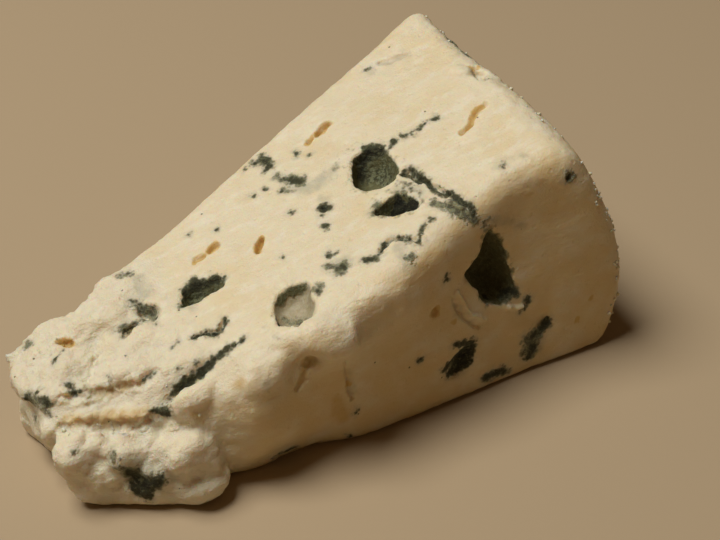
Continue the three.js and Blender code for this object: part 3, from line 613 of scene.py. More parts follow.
class CheeseColours(PropertyGroup):
    """Colours of the paste and of what marks it."""

    paste: tint("Paste", "Cream of the cut faces", (0.745, 0.670, 0.490))
    butter: tint("Butter", "Yellower parts", (0.705, 0.565, 0.320))
    curd: tint("Curd", "Whiter parts", (0.785, 0.740, 0.600))
    # The rind's own colour; on the front the same tint is painted warm shade.
    crust: tint("Crust", "Drier front and rind", (0.690, 0.512, 0.232))
    mould: tint("Mould", "Dark green mould", (0.055, 0.057, 0.028))
    # Also the near-black of the darkest hollows, where it is partly painted shade.
    pith: tint("Pith", "Darkest parts of the mould", (0.017, 0.017, 0.008))
    bloom: tint("Bloom", "Pale grey-green powder", (0.226, 0.242, 0.138))
    olive: tint("Olive", "Walls of the hollows", (0.128, 0.123, 0.053))
    grey: tint("Grey", "Walls of the grey hollows", (0.33, 0.285, 0.175))
    halo: tint("Halo", "Grey tint round the mould", (0.44, 0.42, 0.32))
    # Rims of the yellow slots, and also the colour of painted warm shade.
    honey: tint("Honey", "Rims of the yellow slots and warm smudges", (0.60, 0.41, 0.15))
    amber: tint("Amber", "Clear yellow slots", (0.50, 0.285, 0.05))
    # Also the colour of painted shadow lines and of painted shade in dents.
    stain: tint("Stain", "Grey stains", (0.40, 0.35, 0.245))


class StageSettings(PropertyGroup):
    """Camera, lights and floor."""

    eye: FloatVectorProperty(
        name="Eye",
        description="Place of the camera",
        subtype="TRANSLATION",
        default=(-0.10162, -0.19528, 0.18263),
    )
    azimuth: angle("Azimuth", "Turn of the view", -30.1)
    elevation: angle("Elevation", "Height of the view", 37.5)
    lens: FloatProperty(name="Lens", description="Focal length in millimetres", default=92.0, min=1)
    floor: tint("Floor", "Colour of the floor", (0.425, 0.33, 0.215))
    key: power("Key", "Power of the main light", 6.1)
    fill: power("Fill", "Power of the front light", 0.12)
    air: FloatProperty(name="Air", description="Strength of the light from all round", default=0.05, min=0)


def deselect():
    """Leaves nothing selected, in object mode."""
    if bpy.context.mode != "OBJECT":
        bpy.ops.object.mode_set(mode="OBJECT")
    bpy.ops.object.select_all(action="DESELECT")


def pick(piece):
    """Makes one piece the only selected and the active one."""
    deselect()
    piece.select_set(True)
    bpy.context.view_layer.objects.active = piece


def work(piece, kind, **settings):
    """Adds one modifier with these settings and applies it."""
    pick(piece)
    modifier = piece.modifiers.new(kind.lower(), kind)
    for name, value in settings.items():
        setattr(modifier, name, value)
    bpy.ops.object.modifier_apply(modifier=modifier.name)


def skin_values(piece, name):
    """Three values of each of a piece's points, one row for a point."""
    values = np.empty(len(piece.data.vertices) * 3, np.float32)
    piece.data.vertices.foreach_get(name, values)
    return values.reshape(-1, 3).astype(float)


def skin_points(piece):
    """The places of a piece's points, in metres."""
    return skin_values(piece, "co")


def skin_normals(piece):
    """The outward directions at a piece's points."""
    return skin_values(piece, "normal")


def ease(values, low, high):
    """0 below low, 1 above high, and an even swing between."""
    share = np.clip((values - low) / (high - low), 0, 1)
    return share * share * (3 - 2 * share)


def weigh(piece, name, weights, levels=48):
    """Gives a piece's points their weights in a vertex group."""
    group = piece.vertex_groups.get(name) or piece.vertex_groups.new(name=name)
    steps = np.rint(np.clip(weights, 0, 1) * levels).astype(int)
    for step in range(levels + 1):
        members = np.nonzero(steps == step)[0].tolist()
        if members:
            group.add(members, step / levels, "REPLACE")


def write(piece, name, values):
    """Writes one value for each point as an attribute of the piece."""
    attribute = piece.data.attributes.get(name) or piece.data.attributes.new(name, "FLOAT", "POINT")
    attribute.data.foreach_set("value", values.astype(np.float32))


def put_on(piece, face, beads):
    """The beads of a chain set down on the piece: an array of places, and one of radii, in metres."""
    sizes = np.array(beads) * MM
    if face == "inside":
        return sizes[:, :3], sizes[:, 3]
    axes, inward = FACES[face]
    places = []
    for first, second, _ in beads:
        start = -OUTSIDE * inward
        start[axes[0]] = first * MM
        start[axes[1]] = second * MM
        found, place, _, _ = piece.ray_cast(start, inward)
        if not found:
            raise RuntimeError(f"a mark on the {face} at {first}, {second} misses the cheese")
        places.append(place)
    return np.array(places, float), sizes[:, 2]


def chain_depth(points, places, radii):
    """How deep each point lies in a chain of beads, in metres; negative outside."""
    if len(places) == 1:
        return radii[0] - np.linalg.norm(points - places[0], axis=1)
    deepest = np.full(len(points), NOWHERE)
    for start, end, first, last in zip(places, places[1:], radii, radii[1:]):
        along = end - start
        share = np.clip((points - start) @ along / max(along @ along, 1e-12), 0, 1)
        apart = np.linalg.norm(points - start - share[:, None] * along, axis=1)
        deepest = np.maximum(deepest, first + (last - first) * share - apart)
    return deepest


def face_depth(points, face, beads):
    """How deep each point lies in a chain, looking straight at the face."""
    axes, _ = FACES[face]
    sizes = np.array(beads) * MM
    return chain_depth(points[:, axes], sizes[:, :2], sizes[:, 2])


def recess(points, face):
    """How far each point lies behind a flat face, in metres."""
    level, rise, axis, way = LEVELS[face]
    return way * (level * MM + points[:, (0, 2)] @ rise - points[:, axis])


def hollow_depth(points, strayed, face, beads):
    """How deep each point lies in a chain, looking straight at the face, but only behind it."""
    behind = recess(points, face)
    return np.minimum(face_depth(strayed, face, beads), np.minimum(behind - LIP, DEEPEST - behind))


def wander(points, span, reach):
    """Moves points about by a smooth noise, so that a mark loses its even outline."""
    drift = [noise.noise_vector(place) for place in (points / span).tolist()]
    return points + reach * np.array(drift)


def astray(piece):
    """The piece's points, moved about in large and small steps."""
    points = skin_points(piece)
    for span, reach in MARK_DRIFTS:
        points = wander(points, span, reach)
    return points


def mark(piece, name, chains):
    """Writes how deep each point lies in the nearest chain, in millimetres, as an attribute of the piece."""
    points = astray(piece)
    deepest = np.full(len(points), UNMARKED)
    for face, beads in chains:
        deepest = np.maximum(deepest, chain_depth(points, *put_on(piece, face, beads)))
    write(piece, name, deepest / MM)


def mark_hollows(piece, name, chains):
    """Writes how deep each point lies in the nearest hollow's walls, in millimetres, as an attribute."""
    points = skin_points(piece)
    strayed = astray(piece)
    deepest = np.full(len(points), UNMARKED)
    for face, beads in chains:
        deepest = np.maximum(deepest, hollow_depth(points, strayed, face, beads))
    write(piece, name, deepest / MM)


def refine(piece, near):
    """Splits the faces that have a point with its flag set."""
    pick(piece)
    corners = np.empty(len(piece.data.loops), int)
    piece.data.loops.foreach_get("vertex_index", corners)
    starts = np.empty(len(piece.data.polygons), int)
    piece.data.polygons.foreach_get("loop_start", starts)
    chosen = np.logical_or.reduceat(near[corners], starts)
    bpy.context.tool_settings.mesh_select_mode = (False, False, True)
    bpy.ops.object.mode_set(mode="EDIT")
    bpy.ops.mesh.select_all(action="DESELECT")
    bpy.ops.object.mode_set(mode="OBJECT")
    piece.data.polygons.foreach_set("select", chosen)
    bpy.ops.object.mode_set(mode="EDIT")
    bpy.ops.mesh.subdivide(number_cuts=1)
    bpy.ops.object.mode_set(mode="OBJECT")


def press(piece, chains, way):
    """Presses chains into the piece, or raises them, by their own depths."""
    points = wander(skin_points(piece), *PRESS_DRIFT)
    moves = np.zeros(len(points))
    for face, beads, depth in chains:
        places, radii = put_on(piece, face, beads)
        inside = chain_depth(points, places, radii)
        swell = ease(inside, -PRESS_RIM, PRESS_FLOOR * radii.max()) * depth * MM
        moves = np.maximum(moves, swell)
    deepest = moves.max()
    weigh(piece, "pressed", moves / deepest, levels=200)
    work(piece, "DISPLACE", direction="NORMAL", mid_level=0, strength=way * deepest, vertex_group="pressed")
    piece.vertex_groups.remove(piece.vertex_groups["pressed"])


def clouds(name, size, depth=2, kind="SOFT_NOISE"):
    """A cloud pattern, its lumps about `size` across; hard noise gives round lumps with sharp creases."""
    pattern = bpy.data.textures.new(name, "CLOUDS")
    pattern.noise_scale = size
    pattern.noise_depth = depth
    pattern.noise_type = kind
    return pattern


def raise_pattern(piece, pattern, height, middle, **settings):
    """Raises a pattern on a piece; its middle level stays where it is."""
    work(
        piece,
        "DISPLACE",
        texture=pattern,
        strength=height,
        mid_level=middle,
        texture_coords="LOCAL",
        direction="NORMAL",
        **settings,
    )


def broken_share(points, crumbly=0.4):
    """How far each point belongs to a broken or crumbly face, from 0 to 1."""
    x, y, z = (points / MM).T
    tip = 1 - ease(x, *TIP_BREAK)
    front, back = (recess(points, face) / MM for face in ("front", "back"))
    rim = crumbly * ease(x, *RIND_RIM) * ease(front, *FRONT_MARGIN) * ease(back, *BACK_MARGIN)
    edge = EDGE_CRUMBLE * (1 - ease(y, *EDGE_DEPTH)) * ease(z, *EDGE_FOOT) * (1 - ease(x, *EDGE_END))
    return np.clip(np.maximum(np.maximum(tip, rim), edge) + CUT_CRUMBLE, 0, 1) * ease(z, *FOOT)


class CHEESE_OT_paste(Operator):
    """Work the paste from the wedge's solid and mark it"""

    bl_idname = "cheese.paste"
    bl_label = "Paste"

    def execute(self, context):
        sizes = context.scene.cheese_sizes
        # Without a seed of its own, this noise is seeded from the clock.
        noise.seed_set(SEED)
        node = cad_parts["wedge"]
        paste = bpy.data.objects.new("paste", node.data.copy())
        context.scene.collection.objects.link(paste)
        paste.data.materials.clear()
        pick(paste)
        bpy.ops.object.mode_set(mode="EDIT")
        bpy.ops.mesh.select_all(action="SELECT")
        bpy.ops.mesh.remove_doubles(threshold=MM / 1000)
        bpy.ops.object.mode_set(mode="OBJECT")
        work(paste, "REMESH", mode="VOXEL", voxel_size=sizes.skin)
        self.smooth(paste)
        refine(paste, self.fine_work(paste))
        self.crumble(paste, sizes)
        for name, chains in MARKS.items():
            mark(paste, name, chains)
        press(paste, RIDGES, 1)
        self.settle(paste, rounds=3)
        press(paste, PITS, -1)
        self.settle(paste, rounds=1)
        self.roughen(paste, sizes)
        self.flatten_foot(paste)
        for name, chains in HOLLOWS.items():
            mark_hollows(paste, name, chains)
        write(paste, "broken", broken_share(skin_points(paste)))
        # The rind's share, and the front's share of painted warm shade.
        write(paste, "rind", self.rind_and_front_shade_share(paste))
        pick(paste)
        bpy.ops.object.shade_smooth()
        paste.data.materials.append(paste_material(context.scene.cheese_colours))
        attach(paste, "root")
        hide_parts("wedge")
        return {"FINISHED"}

    def smooth(self, paste):
        """Smooths the cut faces well and the broken ones a little, and keeps the rims of the hollows."""
        points = skin_points(paste)
        rims = self.near_hollows(points)
        broken = broken_share(points)
        weigh(paste, "cut", (1 - np.clip(broken * BROKEN_GUARD, 0, 1)) * (1 - rims))
        work(paste, "SMOOTH", factor=EVEN_STEP, iterations=CUT_ROUNDS, vertex_group="cut")
        for factor in (EVEN_STEP, EVEN_RETURN):
            work(paste, "SMOOTH", factor=factor, iterations=EVEN_ROUNDS)
        weigh(paste, "walls", self.near_hollows(skin_points(paste), WALL_START))
        work(paste, "SMOOTH", factor=EVEN_STEP, iterations=WALL_ROUNDS, vertex_group="walls")

    def near_hollows(self, points, behind=NOWHERE):
        """How near each point is to a hollow, from 0 to 1, if it lies this far behind the face."""
        nearest = np.full(len(points), NOWHERE)
        for face, beads in (*OLIVE, *GREY, *PITCH_AND_SHADE, *CLEFTS):
            depth = recess(points, face)
            inside = face_depth(points, face, beads)
            nearest = np.maximum(nearest, np.minimum(inside, np.minimum(DEEPEST - depth, depth - behind)))
        return ease(nearest, -RIM_REACH, 0)

    def fine_work(self, paste):
        """Which points lie near a small mark that is pressed in or raised."""
        points = skin_points(paste)
        near = np.zeros(len(points), bool)
        for face, beads, _ in (*PITS, *RIDGES):
            places, radii = put_on(paste, face, beads)
            if radii.max() < SMALL_MARK:
                near |= chain_depth(points, places, radii) > -FINE_MARGIN
        return near

    def crumble(self, paste, sizes):
        """Raises lumps and grain on the broken faces, and faint waves on the cut ones."""
        points = skin_points(paste)
        broken = broken_share(points, crumbly=0.6)
        weigh(paste, "broken", broken)
        weigh(paste, "cut", 1 - broken)
        weigh(paste, "rims", self.near_hollows(points))
        for group, pattern, height, middle in (
            ("broken", clouds("lumps", 3.0 * MM, 2, "HARD_NOISE"), sizes.crumble, 0.15),
            ("broken", clouds("grain", 0.8 * MM, 2, "HARD_NOISE"), sizes.grain, 0.3),
            ("rims", clouds("chips", 1.6 * MM, 1, "HARD_NOISE"), sizes.chips, 0.4),
            ("cut", clouds("waves", 5.0 * MM, 2), sizes.wire_marks, 0.5),
            ("cut", clouds("pocks", 1.0 * MM, 3), 0.4 * sizes.wire_marks, 0.5),
        ):
            raise_pattern(paste, pattern, height, middle, vertex_group=group)
        paste.vertex_groups.clear()

    def settle(self, paste, rounds):
        """Takes the sharpest creases out of the broken faces, so that they look puffed and not cracked."""
        weigh(paste, "broken", broken_share(skin_points(paste)))
        work(paste, "SMOOTH", factor=EVEN_STEP, iterations=rounds, vertex_group="broken")
        paste.vertex_groups.clear()

    def roughen(self, paste, sizes):
        """Gives the broken faces their fine crumb."""
        weigh(paste, "broken", broken_share(skin_points(paste)))
        pattern = clouds("crumb grain", 0.95 * MM)
        raise_pattern(paste, pattern, sizes.grain, middle=0.5, vertex_group="broken")
        paste.vertex_groups.clear()

    def flatten_foot(self, paste):
        """Sets the lowest points level on the ground again."""
        points = skin_points(paste)
        points[:, 2] = np.where(points[:, 2] < GROUND, 0, points[:, 2])
        paste.data.vertices.foreach_set("co", points.astype(np.float32).ravel())
        paste.data.update()

    def rind_and_front_shade_share(self, paste):
        """How far each point belongs to the rind, or to the front that faces away from the key light and is
        tinted as painted warm shade, from 0 to 1.
        """
        points = skin_points(paste) / MM
        normals = skin_normals(paste)
        front = ease(-normals[:, 1], *FRONT_SHADE_TURN) * (1 - broken_share(points * MM))
        return np.maximum(ease(points[:, 0], *RIND_START) * ease(normals[:, 0], *RIND_TURN), front)


class CHEESE_OT_crumbs(Operator):
    """Set crumbs on the edges of the rind and on the broken tip"""

    bl_idname = "cheese.crumbs"
    bl_label = "Crumbs"

    def execute(self, context):
        sizes = context.scene.cheese_sizes
        paste = bpy.data.objects.get("paste")
        if paste is None:
            raise RuntimeError("the crumbs sit on the paste, which isn't there yet")
        chance = np.random.default_rng(SEED)
        shapes = [self.crumb_shape(number) for number in range(CRUMB_SHAPES)]
        points = skin_points(paste)
        normals = skin_normals(paste)
        seats = chance.choice(len(points), sizes.crumbs, replace=False, p=self.likeliness(points, normals))
        copies = []
        for number, seat in enumerate(seats):
            shape = shapes[number % len(shapes)]
            copy = bpy.data.objects.new("crumb copy", shape.data.copy())
            context.scene.collection.objects.link(copy)
            radius = sizes.crumb * chance.uniform(*CRUMB_SIZES)
            copy.scale = radius * chance.uniform(*CRUMB_STRETCH, 3)
            copy.rotation_euler = chance.uniform(0, 2 * math.pi, 3)
            copy.location = points[seat] + normals[seat] * radius * CRUMB_LIFT
            copies.append(copy)
        deselect()
        for shape in shapes:
            bpy.data.objects.remove(shape)
        for copy in copies:
            copy.select_set(True)
        crumbs = copies[0]
        bpy.context.view_layer.objects.active = crumbs
        bpy.ops.object.join()
        crumbs.name = "crumbs"
        bpy.ops.object.transform_apply(location=True, rotation=True, scale=True)
        bpy.ops.object.shade_smooth()
        crumbs.data.materials.append(crumb_material(context.scene.cheese_colours))
        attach(crumbs, "root")
        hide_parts("wedge")
        return {"FINISHED"}

    def crumb_shape(self, number):
        """One crumb of radius 1: a ball, roughened."""
        away = Vector((CRUMB_SPACING * number, 0, 0))
        deselect()
        bpy.ops.mesh.primitive_ico_sphere_add(subdivisions=1, radius=1, location=away)
        crumb = bpy.context.object
        bpy.ops.object.transform_apply(location=True)
        raise_pattern(crumb, clouds("crumb", 0.7), height=1.5, middle=0.5)
        bpy.ops.object.mode_set(mode="EDIT")
        bpy.ops.mesh.select_all(action="SELECT")
        bpy.ops.transform.translate(value=-away)
        bpy.ops.object.mode_set(mode="OBJECT")
        return crumb

    def likeliness(self, points, normals):
        """How likely a crumb sits at each point."""
        # Each swing is over places in millimetres, or over parts of the outward direction.
        x, y, z = (points / MM).T
        rim = ease(x, 34, 37) * ease(normals[:, 0], 0.1, 0.4) * (1 - ease(normals[:, 0], 0.6, 0.9))
        front_rim = ease(x, 36, 40) * (1 - ease(y, -22, -18)) * ease(normals[:, 0], 0.3, 0.6)
        tip = (1 - ease(x, -30, -22)) * ease(normals[:, 2], -0.2, 0.3)
        chances = (RIM_CRUMBS * rim + RIM_CRUMBS * front_rim + TIP_CRUMBS * tip) * ease(z, 2, 4)
        return chances / chances.sum()


class CHEESE_OT_stage(Operator):
    """Set the floor, the lights and the camera"""

    bl_idname = "cheese.stage"
    bl_label = "Stage"

    def execute(self, context):
        stage = context.scene.cheese_stage
        self.pale_floor(stage.floor)
        for name, (place, size, colour) in LIGHTS.items():
            self.soft_light(f"{name} light", Vector(place), size, getattr(stage, name), colour)
        world = bpy.data.worlds.new("studio air")
        context.scene.world = world
        world.use_nodes = True
        air = world.node_tree.nodes["Background"]
        air.inputs["Color"].default_value = AIR_COLOUR
        air.inputs["Strength"].default_value = stage.air
        context.scene.camera = self.camera(stage)
        context.scene.view_settings.view_transform = "Standard"
        return {"FINISHED"}

    def pale_floor(self, colour):
        """A plain floor under the wedge."""
        deselect()
        bpy.ops.mesh.primitive_plane_add(size=FLOOR_SIZE, location=(0, 0, 0))
        floor = bpy.context.object
        floor.name = "floor"
        material = bpy.data.materials.new("pale floor")
        material.use_nodes = True
        shader = material.node_tree.nodes["Principled BSDF"]
        shader.inputs["Base Color"].default_value = (*colour, 1)
        shader.inputs["Roughness"].default_value = 0.85
        floor.data.materials.append(material)

    def soft_light(self, name, place, size, watts, colour):
        """A round soft light that shines at the wedge."""
        lamp = bpy.data.lights.new(name, "AREA")
        lamp.shape = "DISK"
        lamp.size = size
        lamp.energy = watts
        lamp.color = colour
        light = bpy.data.objects.new(name, lamp)
        bpy.context.scene.collection.objects.link(light)
        light.location = place
        light.rotation_euler = place.to_track_quat("Z", "Y").to_euler()

    def camera(self, stage):
        """The camera at its place, turned to the wedge."""
        lens = bpy.data.cameras.new("camera")
        lens.lens = stage.lens
        lens.sensor_width = SENSOR
        lens.clip_start = 0.01
        lens.clip_end = 20
        camera = bpy.data.objects.new("camera", lens)
        bpy.context.scene.collection.objects.link(camera)
        level = math.cos(stage.elevation)
        turn = stage.azimuth
        back = Vector((math.sin(turn) * level, -math.cos(turn) * level, math.sin(stage.elevation)))
        camera.location = stage.eye
        camera.rotation_euler = back.to_track_quat("Z", "Y").to_euler()
        return camera


class Nodes:
    """Adds nodes to one tree and joins their sockets."""

    def __init__(self, tree):
        self.tree = tree

    def add(self, kind, settings=None, **inputs):
        """One node, with its own settings, and its inputs set or joined by socket name."""
        node = self.tree.nodes.new(kind)
        for name, value in (settings or {}).items():
            setattr(node, name, value)
        for name, value in inputs.items():
            self.join(value, node.inputs[name])
        return node

    def join(self, value, socket):
        """Links another node's output to an input, or sets it."""
        if isinstance(value, bpy.types.NodeSocket):
            self.tree.links.new(value, socket)
        else:
            socket.default_value = value

    def sum(self, first, second, how="ADD"):
        """One arithmetic step."""
        node = self.add("ShaderNodeMath", {"operation": how})
        self.join(first, node.inputs[0])
        self.join(second, node.inputs[1])
        return node.outputs[0]

    def times(self, first, second):
        """One value times another."""
        return self.sum(first, second, "MULTIPLY")

    def larger(self, first, second):
        """The larger of two values."""
        return self.sum(first, second, "MAXIMUM")

    def swing(self, value, low, high):
        """0 below low, 1 above high, and an even swing between."""
        node = self.add("ShaderNodeMapRange", {"interpolation_type": "SMOOTHSTEP"}, Value=value)
        self.join(low, node.inputs["From Min"])
        self.join(high, node.inputs["From Max"])
        return node.outputs["Result"]

    def blend(self, share, first, second):
        """One colour over another."""
        node = self.add("ShaderNodeMix", {"data_type": "RGBA"})
        for number, value in ((0, share), (6, first), (7, second)):
            self.join(value, node.inputs[number])
        return node.outputs[2]

    def noise(self, vector, size, detail=2.0, roughness=0.5):
        """Cloudy noise from 0 to 1, its lumps about `size` across."""
        node = self.add(
            "ShaderNodeTexNoise", Vector=vector, Scale=1 / size, Detail=detail, Roughness=roughness
        )
        return node.outputs["Fac"]

    def cells(self, vector, size):
        """How far a place is from the middle of its cell, with cells about `size` across."""
        node = self.add("ShaderNodeTexVoronoi", Vector=vector, Scale=1 / size, Randomness=1.0)
        return node.outputs["Distance"]

    def attribute(self, name):
        """A value that is written on the piece's points."""
        return self.add("ShaderNodeAttribute", {"attribute_name": name}).outputs["Fac"]


def group_tree(name, inputs, outputs):
    """An empty node group with these sockets: its nodes, its input sockets and its output node."""
    tree = bpy.data.node_groups.new(name, "ShaderNodeTree")
    for label, kind in inputs:
        tree.interface.new_socket(name=label, in_out="INPUT", socket_type=kind)
    for label, kind in outputs:
        tree.interface.new_socket(name=label, in_out="OUTPUT", socket_type=kind)
    nodes = Nodes(tree)
    return nodes, nodes.add("NodeGroupInput").outputs, nodes.add("NodeGroupOutput")


def ragged_group():
    """Turns a mark's depth into a mask with a ragged, peppered edge, and one of its dark core."""
    known = bpy.data.node_groups.get("ragged mark")
    if known:
        return known
    number = "NodeSocketFloat"
    nodes, given, out = group_tree(
        "ragged mark",
        (("Vector", "NodeSocketVector"), *((name, number) for name in ("Depth", "Reach", "Soft", "Pepper"))),
        (("Mask", number), ("Core", number)),
    )
    broad = nodes.noise(given["Vector"], 1.2 * MM, 2.0, 0.4)
    fine = nodes.noise(given["Vector"], 0.4 * MM, 2.0)
    swing = nodes.sum(nodes.times(broad, 0.78), nodes.times(fine, 0.22))
    swing = nodes.times(nodes.sum(swing, 0.5, "SUBTRACT"), 4.0)
    depth = nodes.sum(given["Depth"], nodes.times(swing, given["Reach"]))
    grains = nodes.times(nodes.sum(0.42, nodes.cells(given["Vector"], 0.62 * MM), "SUBTRACT"), 2.0)
    depth = nodes.sum(depth, nodes.times(grains, given["Pepper"]))
    mask = nodes.swing(depth, nodes.times(given["Soft"], -1.0), given["Soft"])
    nodes.join(mask, out.inputs["Mask"])
    nodes.join(nodes.swing(depth, 0.2, 0.95), out.inputs["Core"])
    return nodes.tree


def paste_group():
    """Cream that drifts between butter and curd, drawn out along the cut, and the height of its grain."""
    known = bpy.data.node_groups.get("paste tone")
    if known:
        return known
    colour, number = "NodeSocketColor", "NodeSocketFloat"
    nodes, given, out = group_tree(
        "paste tone",
        (("Vector", "NodeSocketVector"), ("Paste", colour), ("Butter", colour), ("Curd", colour)),
        (("Color", colour), ("Height", number)),
    )
    drawn = nodes.add("ShaderNodeMapping", Vector=given["Vector"], Scale=(0.4, 1.0, 1.0)).outputs["Vector"]
    drift = nodes.swing(nodes.noise(given["Vector"], 9 * MM, 3.0), 0.42, 0.72)
    curd = nodes.swing(nodes.noise(drawn, 1.9 * MM, 5.0, 0.62), 0.47, 0.68)
    veil = nodes.swing(nodes.noise(given["Vector"], 0.8 * MM, 4.0, 0.65), 0.52, 0.72)
    tone = nodes.blend(nodes.times(drift, 0.5), given["Paste"], given["Butter"])
    tone = nodes.blend(nodes.times(curd, 0.7), tone, given["Curd"])
    tone = nodes.blend(nodes.times(veil, 0.3), tone, given["Butter"])
    lumps = nodes.noise(drawn, 1.3 * MM, 4.0, 0.62)
    grain = nodes.noise(given["Vector"], 0.3 * MM, 3.0, 0.6)
    pocks = nodes.swing(nodes.cells(given["Vector"], 1.7 * MM), 0.06, 0.24)
    height = nodes.sum(nodes.times(lumps, 0.75), nodes.times(grain, 0.3))
    height = nodes.sum(height, nodes.times(pocks, 0.22))
    nodes.join(tone, out.inputs["Color"])
    nodes.join(height, out.inputs["Height"])
    return nodes.tree


def new_material(name, colours):
    """A fresh material: its nodes, its shader, the place on the piece and the paste's own tone there."""
    material = bpy.data.materials.new(name)
    material.use_nodes = True
    nodes = Nodes(material.node_tree)
    place = nodes.add("ShaderNodeTexCoord").outputs["Object"]
    tone = nodes.add(
        "ShaderNodeGroup",
        {"node_tree": paste_group()},
        Vector=place,
        Paste=(*colours.paste, 1),
        Butter=(*colours.butter, 1),
        Curd=(*colours.curd, 1),
    )
    return material, nodes, material.node_tree.nodes["Principled BSDF"], place, tone.outputs


def moist(shader, sheen):
    """The shared finish of paste and crumbs: a little light goes in, and a little sheen comes off."""
    shader.inputs["Subsurface Weight"].default_value = 0.55
    shader.inputs["Subsurface Radius"].default_value = (1.0, 0.55, 0.25)
    shader.inputs["Subsurface Scale"].default_value = 2.6 * MM
    shader.inputs["Specular IOR Level"].default_value = sheen


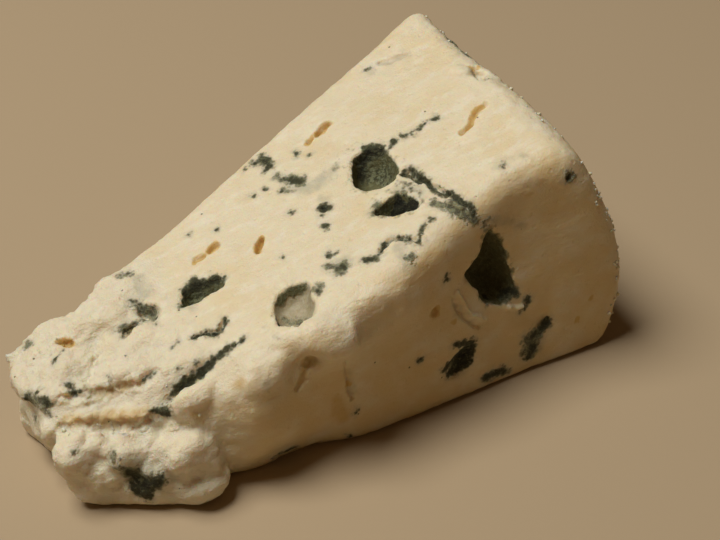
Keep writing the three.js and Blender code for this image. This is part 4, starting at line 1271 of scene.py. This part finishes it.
def paste_material(colours):
    """Cream paste with mould, bloom, dark hollows, amber slots, stains and specks, and painted shade."""
    material, nodes, shader, place, base = new_material("veined paste", colours)
    solid = {name: (*getattr(colours, name), 1) for name in colours.__annotations__}
    mottle = nodes.noise(place, 0.6 * MM, 4.0, 0.65)

    def ragged(name, reach, soft, pepper=0.0, lift=0.0):
        depth = nodes.attribute(name)
        if lift:
            depth = nodes.sum(depth, lift)
        group = nodes.add(
            "ShaderNodeGroup",
            {"node_tree": ragged_group()},
            Vector=place,
            Depth=depth,
            Reach=reach,
            Soft=soft,
            Pepper=pepper,
        )
        return group.outputs["Mask"], group.outputs["Core"]

    def cover(tone, mask, share, colour):
        return nodes.blend(nodes.times(mask, share), tone, colour)

    def speckled(low, high, first, second):
        return nodes.blend(nodes.swing(mottle, low, high), solid[first], solid[second])

    # The rind's crust, and the same tint as painted warm shade on the front.
    rind = nodes.times(nodes.attribute("rind"), nodes.swing(nodes.noise(place, 5 * MM, 4.0), 0.15, 0.65))
    broken = nodes.attribute("broken")
    tone = cover(base["Color"], rind, 0.8, solid["crust"])
    tone = cover(tone, broken, 0.45, solid["curd"])
    # Grey stains, with painted shadow lines and painted shade in dents.
    tone = cover(tone, ragged("stain", 0.6, 0.9)[0], 0.55, solid["stain"])
    # Painted warm shade under the ledges and in the front's dents, and warm smudges.
    tone = cover(tone, ragged("honey", 0.4, 0.7)[0], 0.7, solid["honey"])
    halo = nodes.larger(ragged("mould", 0.6, 0.8, lift=0.3)[0], ragged("bloom", 0.6, 0.8, lift=0.25)[0])
    halo = nodes.larger(halo, ragged("halo", 0.7, 1.0)[0])
    tone = cover(tone, halo, 0.65, solid["halo"])
    amber, deep = ragged("amber", 0.25, 0.22, lift=0.15)
    tone = cover(tone, amber, 0.95, nodes.blend(deep, solid["honey"], solid["amber"]))
    tone = cover(tone, ragged("grey", 0.3, 0.35)[0], 0.9, speckled(0.42, 0.62, "grey", "stain"))
    olive, deep = ragged("olive", 0.3, 0.25, pepper=0.1)
    walls = nodes.blend(nodes.times(deep, 0.5), speckled(0.46, 0.66, "olive", "bloom"), solid["olive"])
    tone = nodes.blend(olive, tone, walls)
    bloom = ragged("bloom", 0.6, 0.4, pepper=0.4)[0]
    bloom = nodes.larger(bloom, ragged("mould", 0.4, 0.32, pepper=0.3, lift=0.12)[0])
    tone = cover(tone, bloom, 0.85, speckled(0.4, 0.6, "mould", "bloom"))
    mould, deep = ragged("mould", 0.28, 0.26, pepper=0.2)
    deep = nodes.times(deep, nodes.swing(mottle, 0.62, 0.42))
    growth = cover(solid["mould"], nodes.swing(mottle, 0.5, 0.7), 0.5, solid["bloom"])
    tone = nodes.blend(mould, tone, nodes.blend(deep, growth, solid["pith"]))
    # The darkest hollows: near-black walls, partly dark mould and partly painted shade.
    pitch = ragged("pitch", 0.35, 0.2, pepper=0.15)[0]
    tone = nodes.blend(pitch, tone, speckled(0.5, 0.7, "pith", "mould"))
    specks = nodes.swing(nodes.cells(place, 4.2 * MM), 0.05, 0.025)
    tone = cover(tone, specks, 0.8, solid["mould"])
    nodes.join(tone, shader.inputs["Base Color"])

    marks = nodes.larger(nodes.larger(mould, bloom), nodes.larger(olive, pitch))
    gloss = nodes.sum(nodes.times(mottle, 0.3), 0.34)
    gloss = nodes.sum(gloss, nodes.times(marks, 0.35))
    nodes.join(gloss, shader.inputs["Roughness"])
    height = nodes.times(base["Height"], nodes.sum(nodes.times(broken, 0.8), 0.6))
    height = nodes.sum(height, nodes.times(nodes.times(marks, mottle), 1.2))
    height = nodes.sum(height, nodes.times(nodes.larger(mould, specks), -0.3))
    bump = nodes.add("ShaderNodeBump", Strength=0.8, Distance=0.55 * MM, Height=height)
    nodes.join(bump.outputs["Normal"], shader.inputs["Normal"])
    moist(shader, 0.42)
    return material


def crumb_material(colours):
    """Plain, dry paste for the crumbs."""
    material, nodes, shader, _, base = new_material("crumb paste", colours)
    nodes.join(base["Color"], shader.inputs["Base Color"])
    bump = nodes.add("ShaderNodeBump", Strength=0.5, Distance=0.4 * MM, Height=base["Height"])
    nodes.join(bump.outputs["Normal"], shader.inputs["Normal"])
    shader.inputs["Roughness"].default_value = 0.9
    moist(shader, 0.1)
    return material


class CHEESE_PT_wedge(Panel):
    """Lists the wedge's pieces, sizes and colours"""

    bl_label = "Blue Cheese Wedge"
    bl_idname = "CHEESE_PT_wedge"
    bl_space_type = "VIEW_3D"
    bl_region_type = "UI"
    bl_category = "Cheese"

    def draw(self, context):
        layout = self.layout
        for settings in SETTINGS:
            group = getattr(context.scene, settings)
            box = layout.box()
            for name in group.__annotations__:
                box.prop(group, name)
        for step in STEPS:
            layout.operator(step.bl_idname)


SETTINGS = {"cheese_sizes": CheeseSizes, "cheese_colours": CheeseColours, "cheese_stage": StageSettings}
STEPS = (CHEESE_OT_paste, CHEESE_OT_crumbs, CHEESE_OT_stage)
CLASSES = (*SETTINGS.values(), *STEPS, CHEESE_PT_wedge)


def register():
    for piece in CLASSES:
        bpy.utils.register_class(piece)
    for name, group in SETTINGS.items():
        setattr(bpy.types.Scene, name, PointerProperty(type=group))


def unregister():
    for name in SETTINGS:
        delattr(bpy.types.Scene, name)
    for piece in reversed(CLASSES):
        bpy.utils.unregister_class(piece)


def main():
    register()
    bpy.ops.cheese.paste()
    bpy.ops.cheese.crumbs()
    bpy.ops.cheese.stage()


if __name__ == "__main__":
    main()
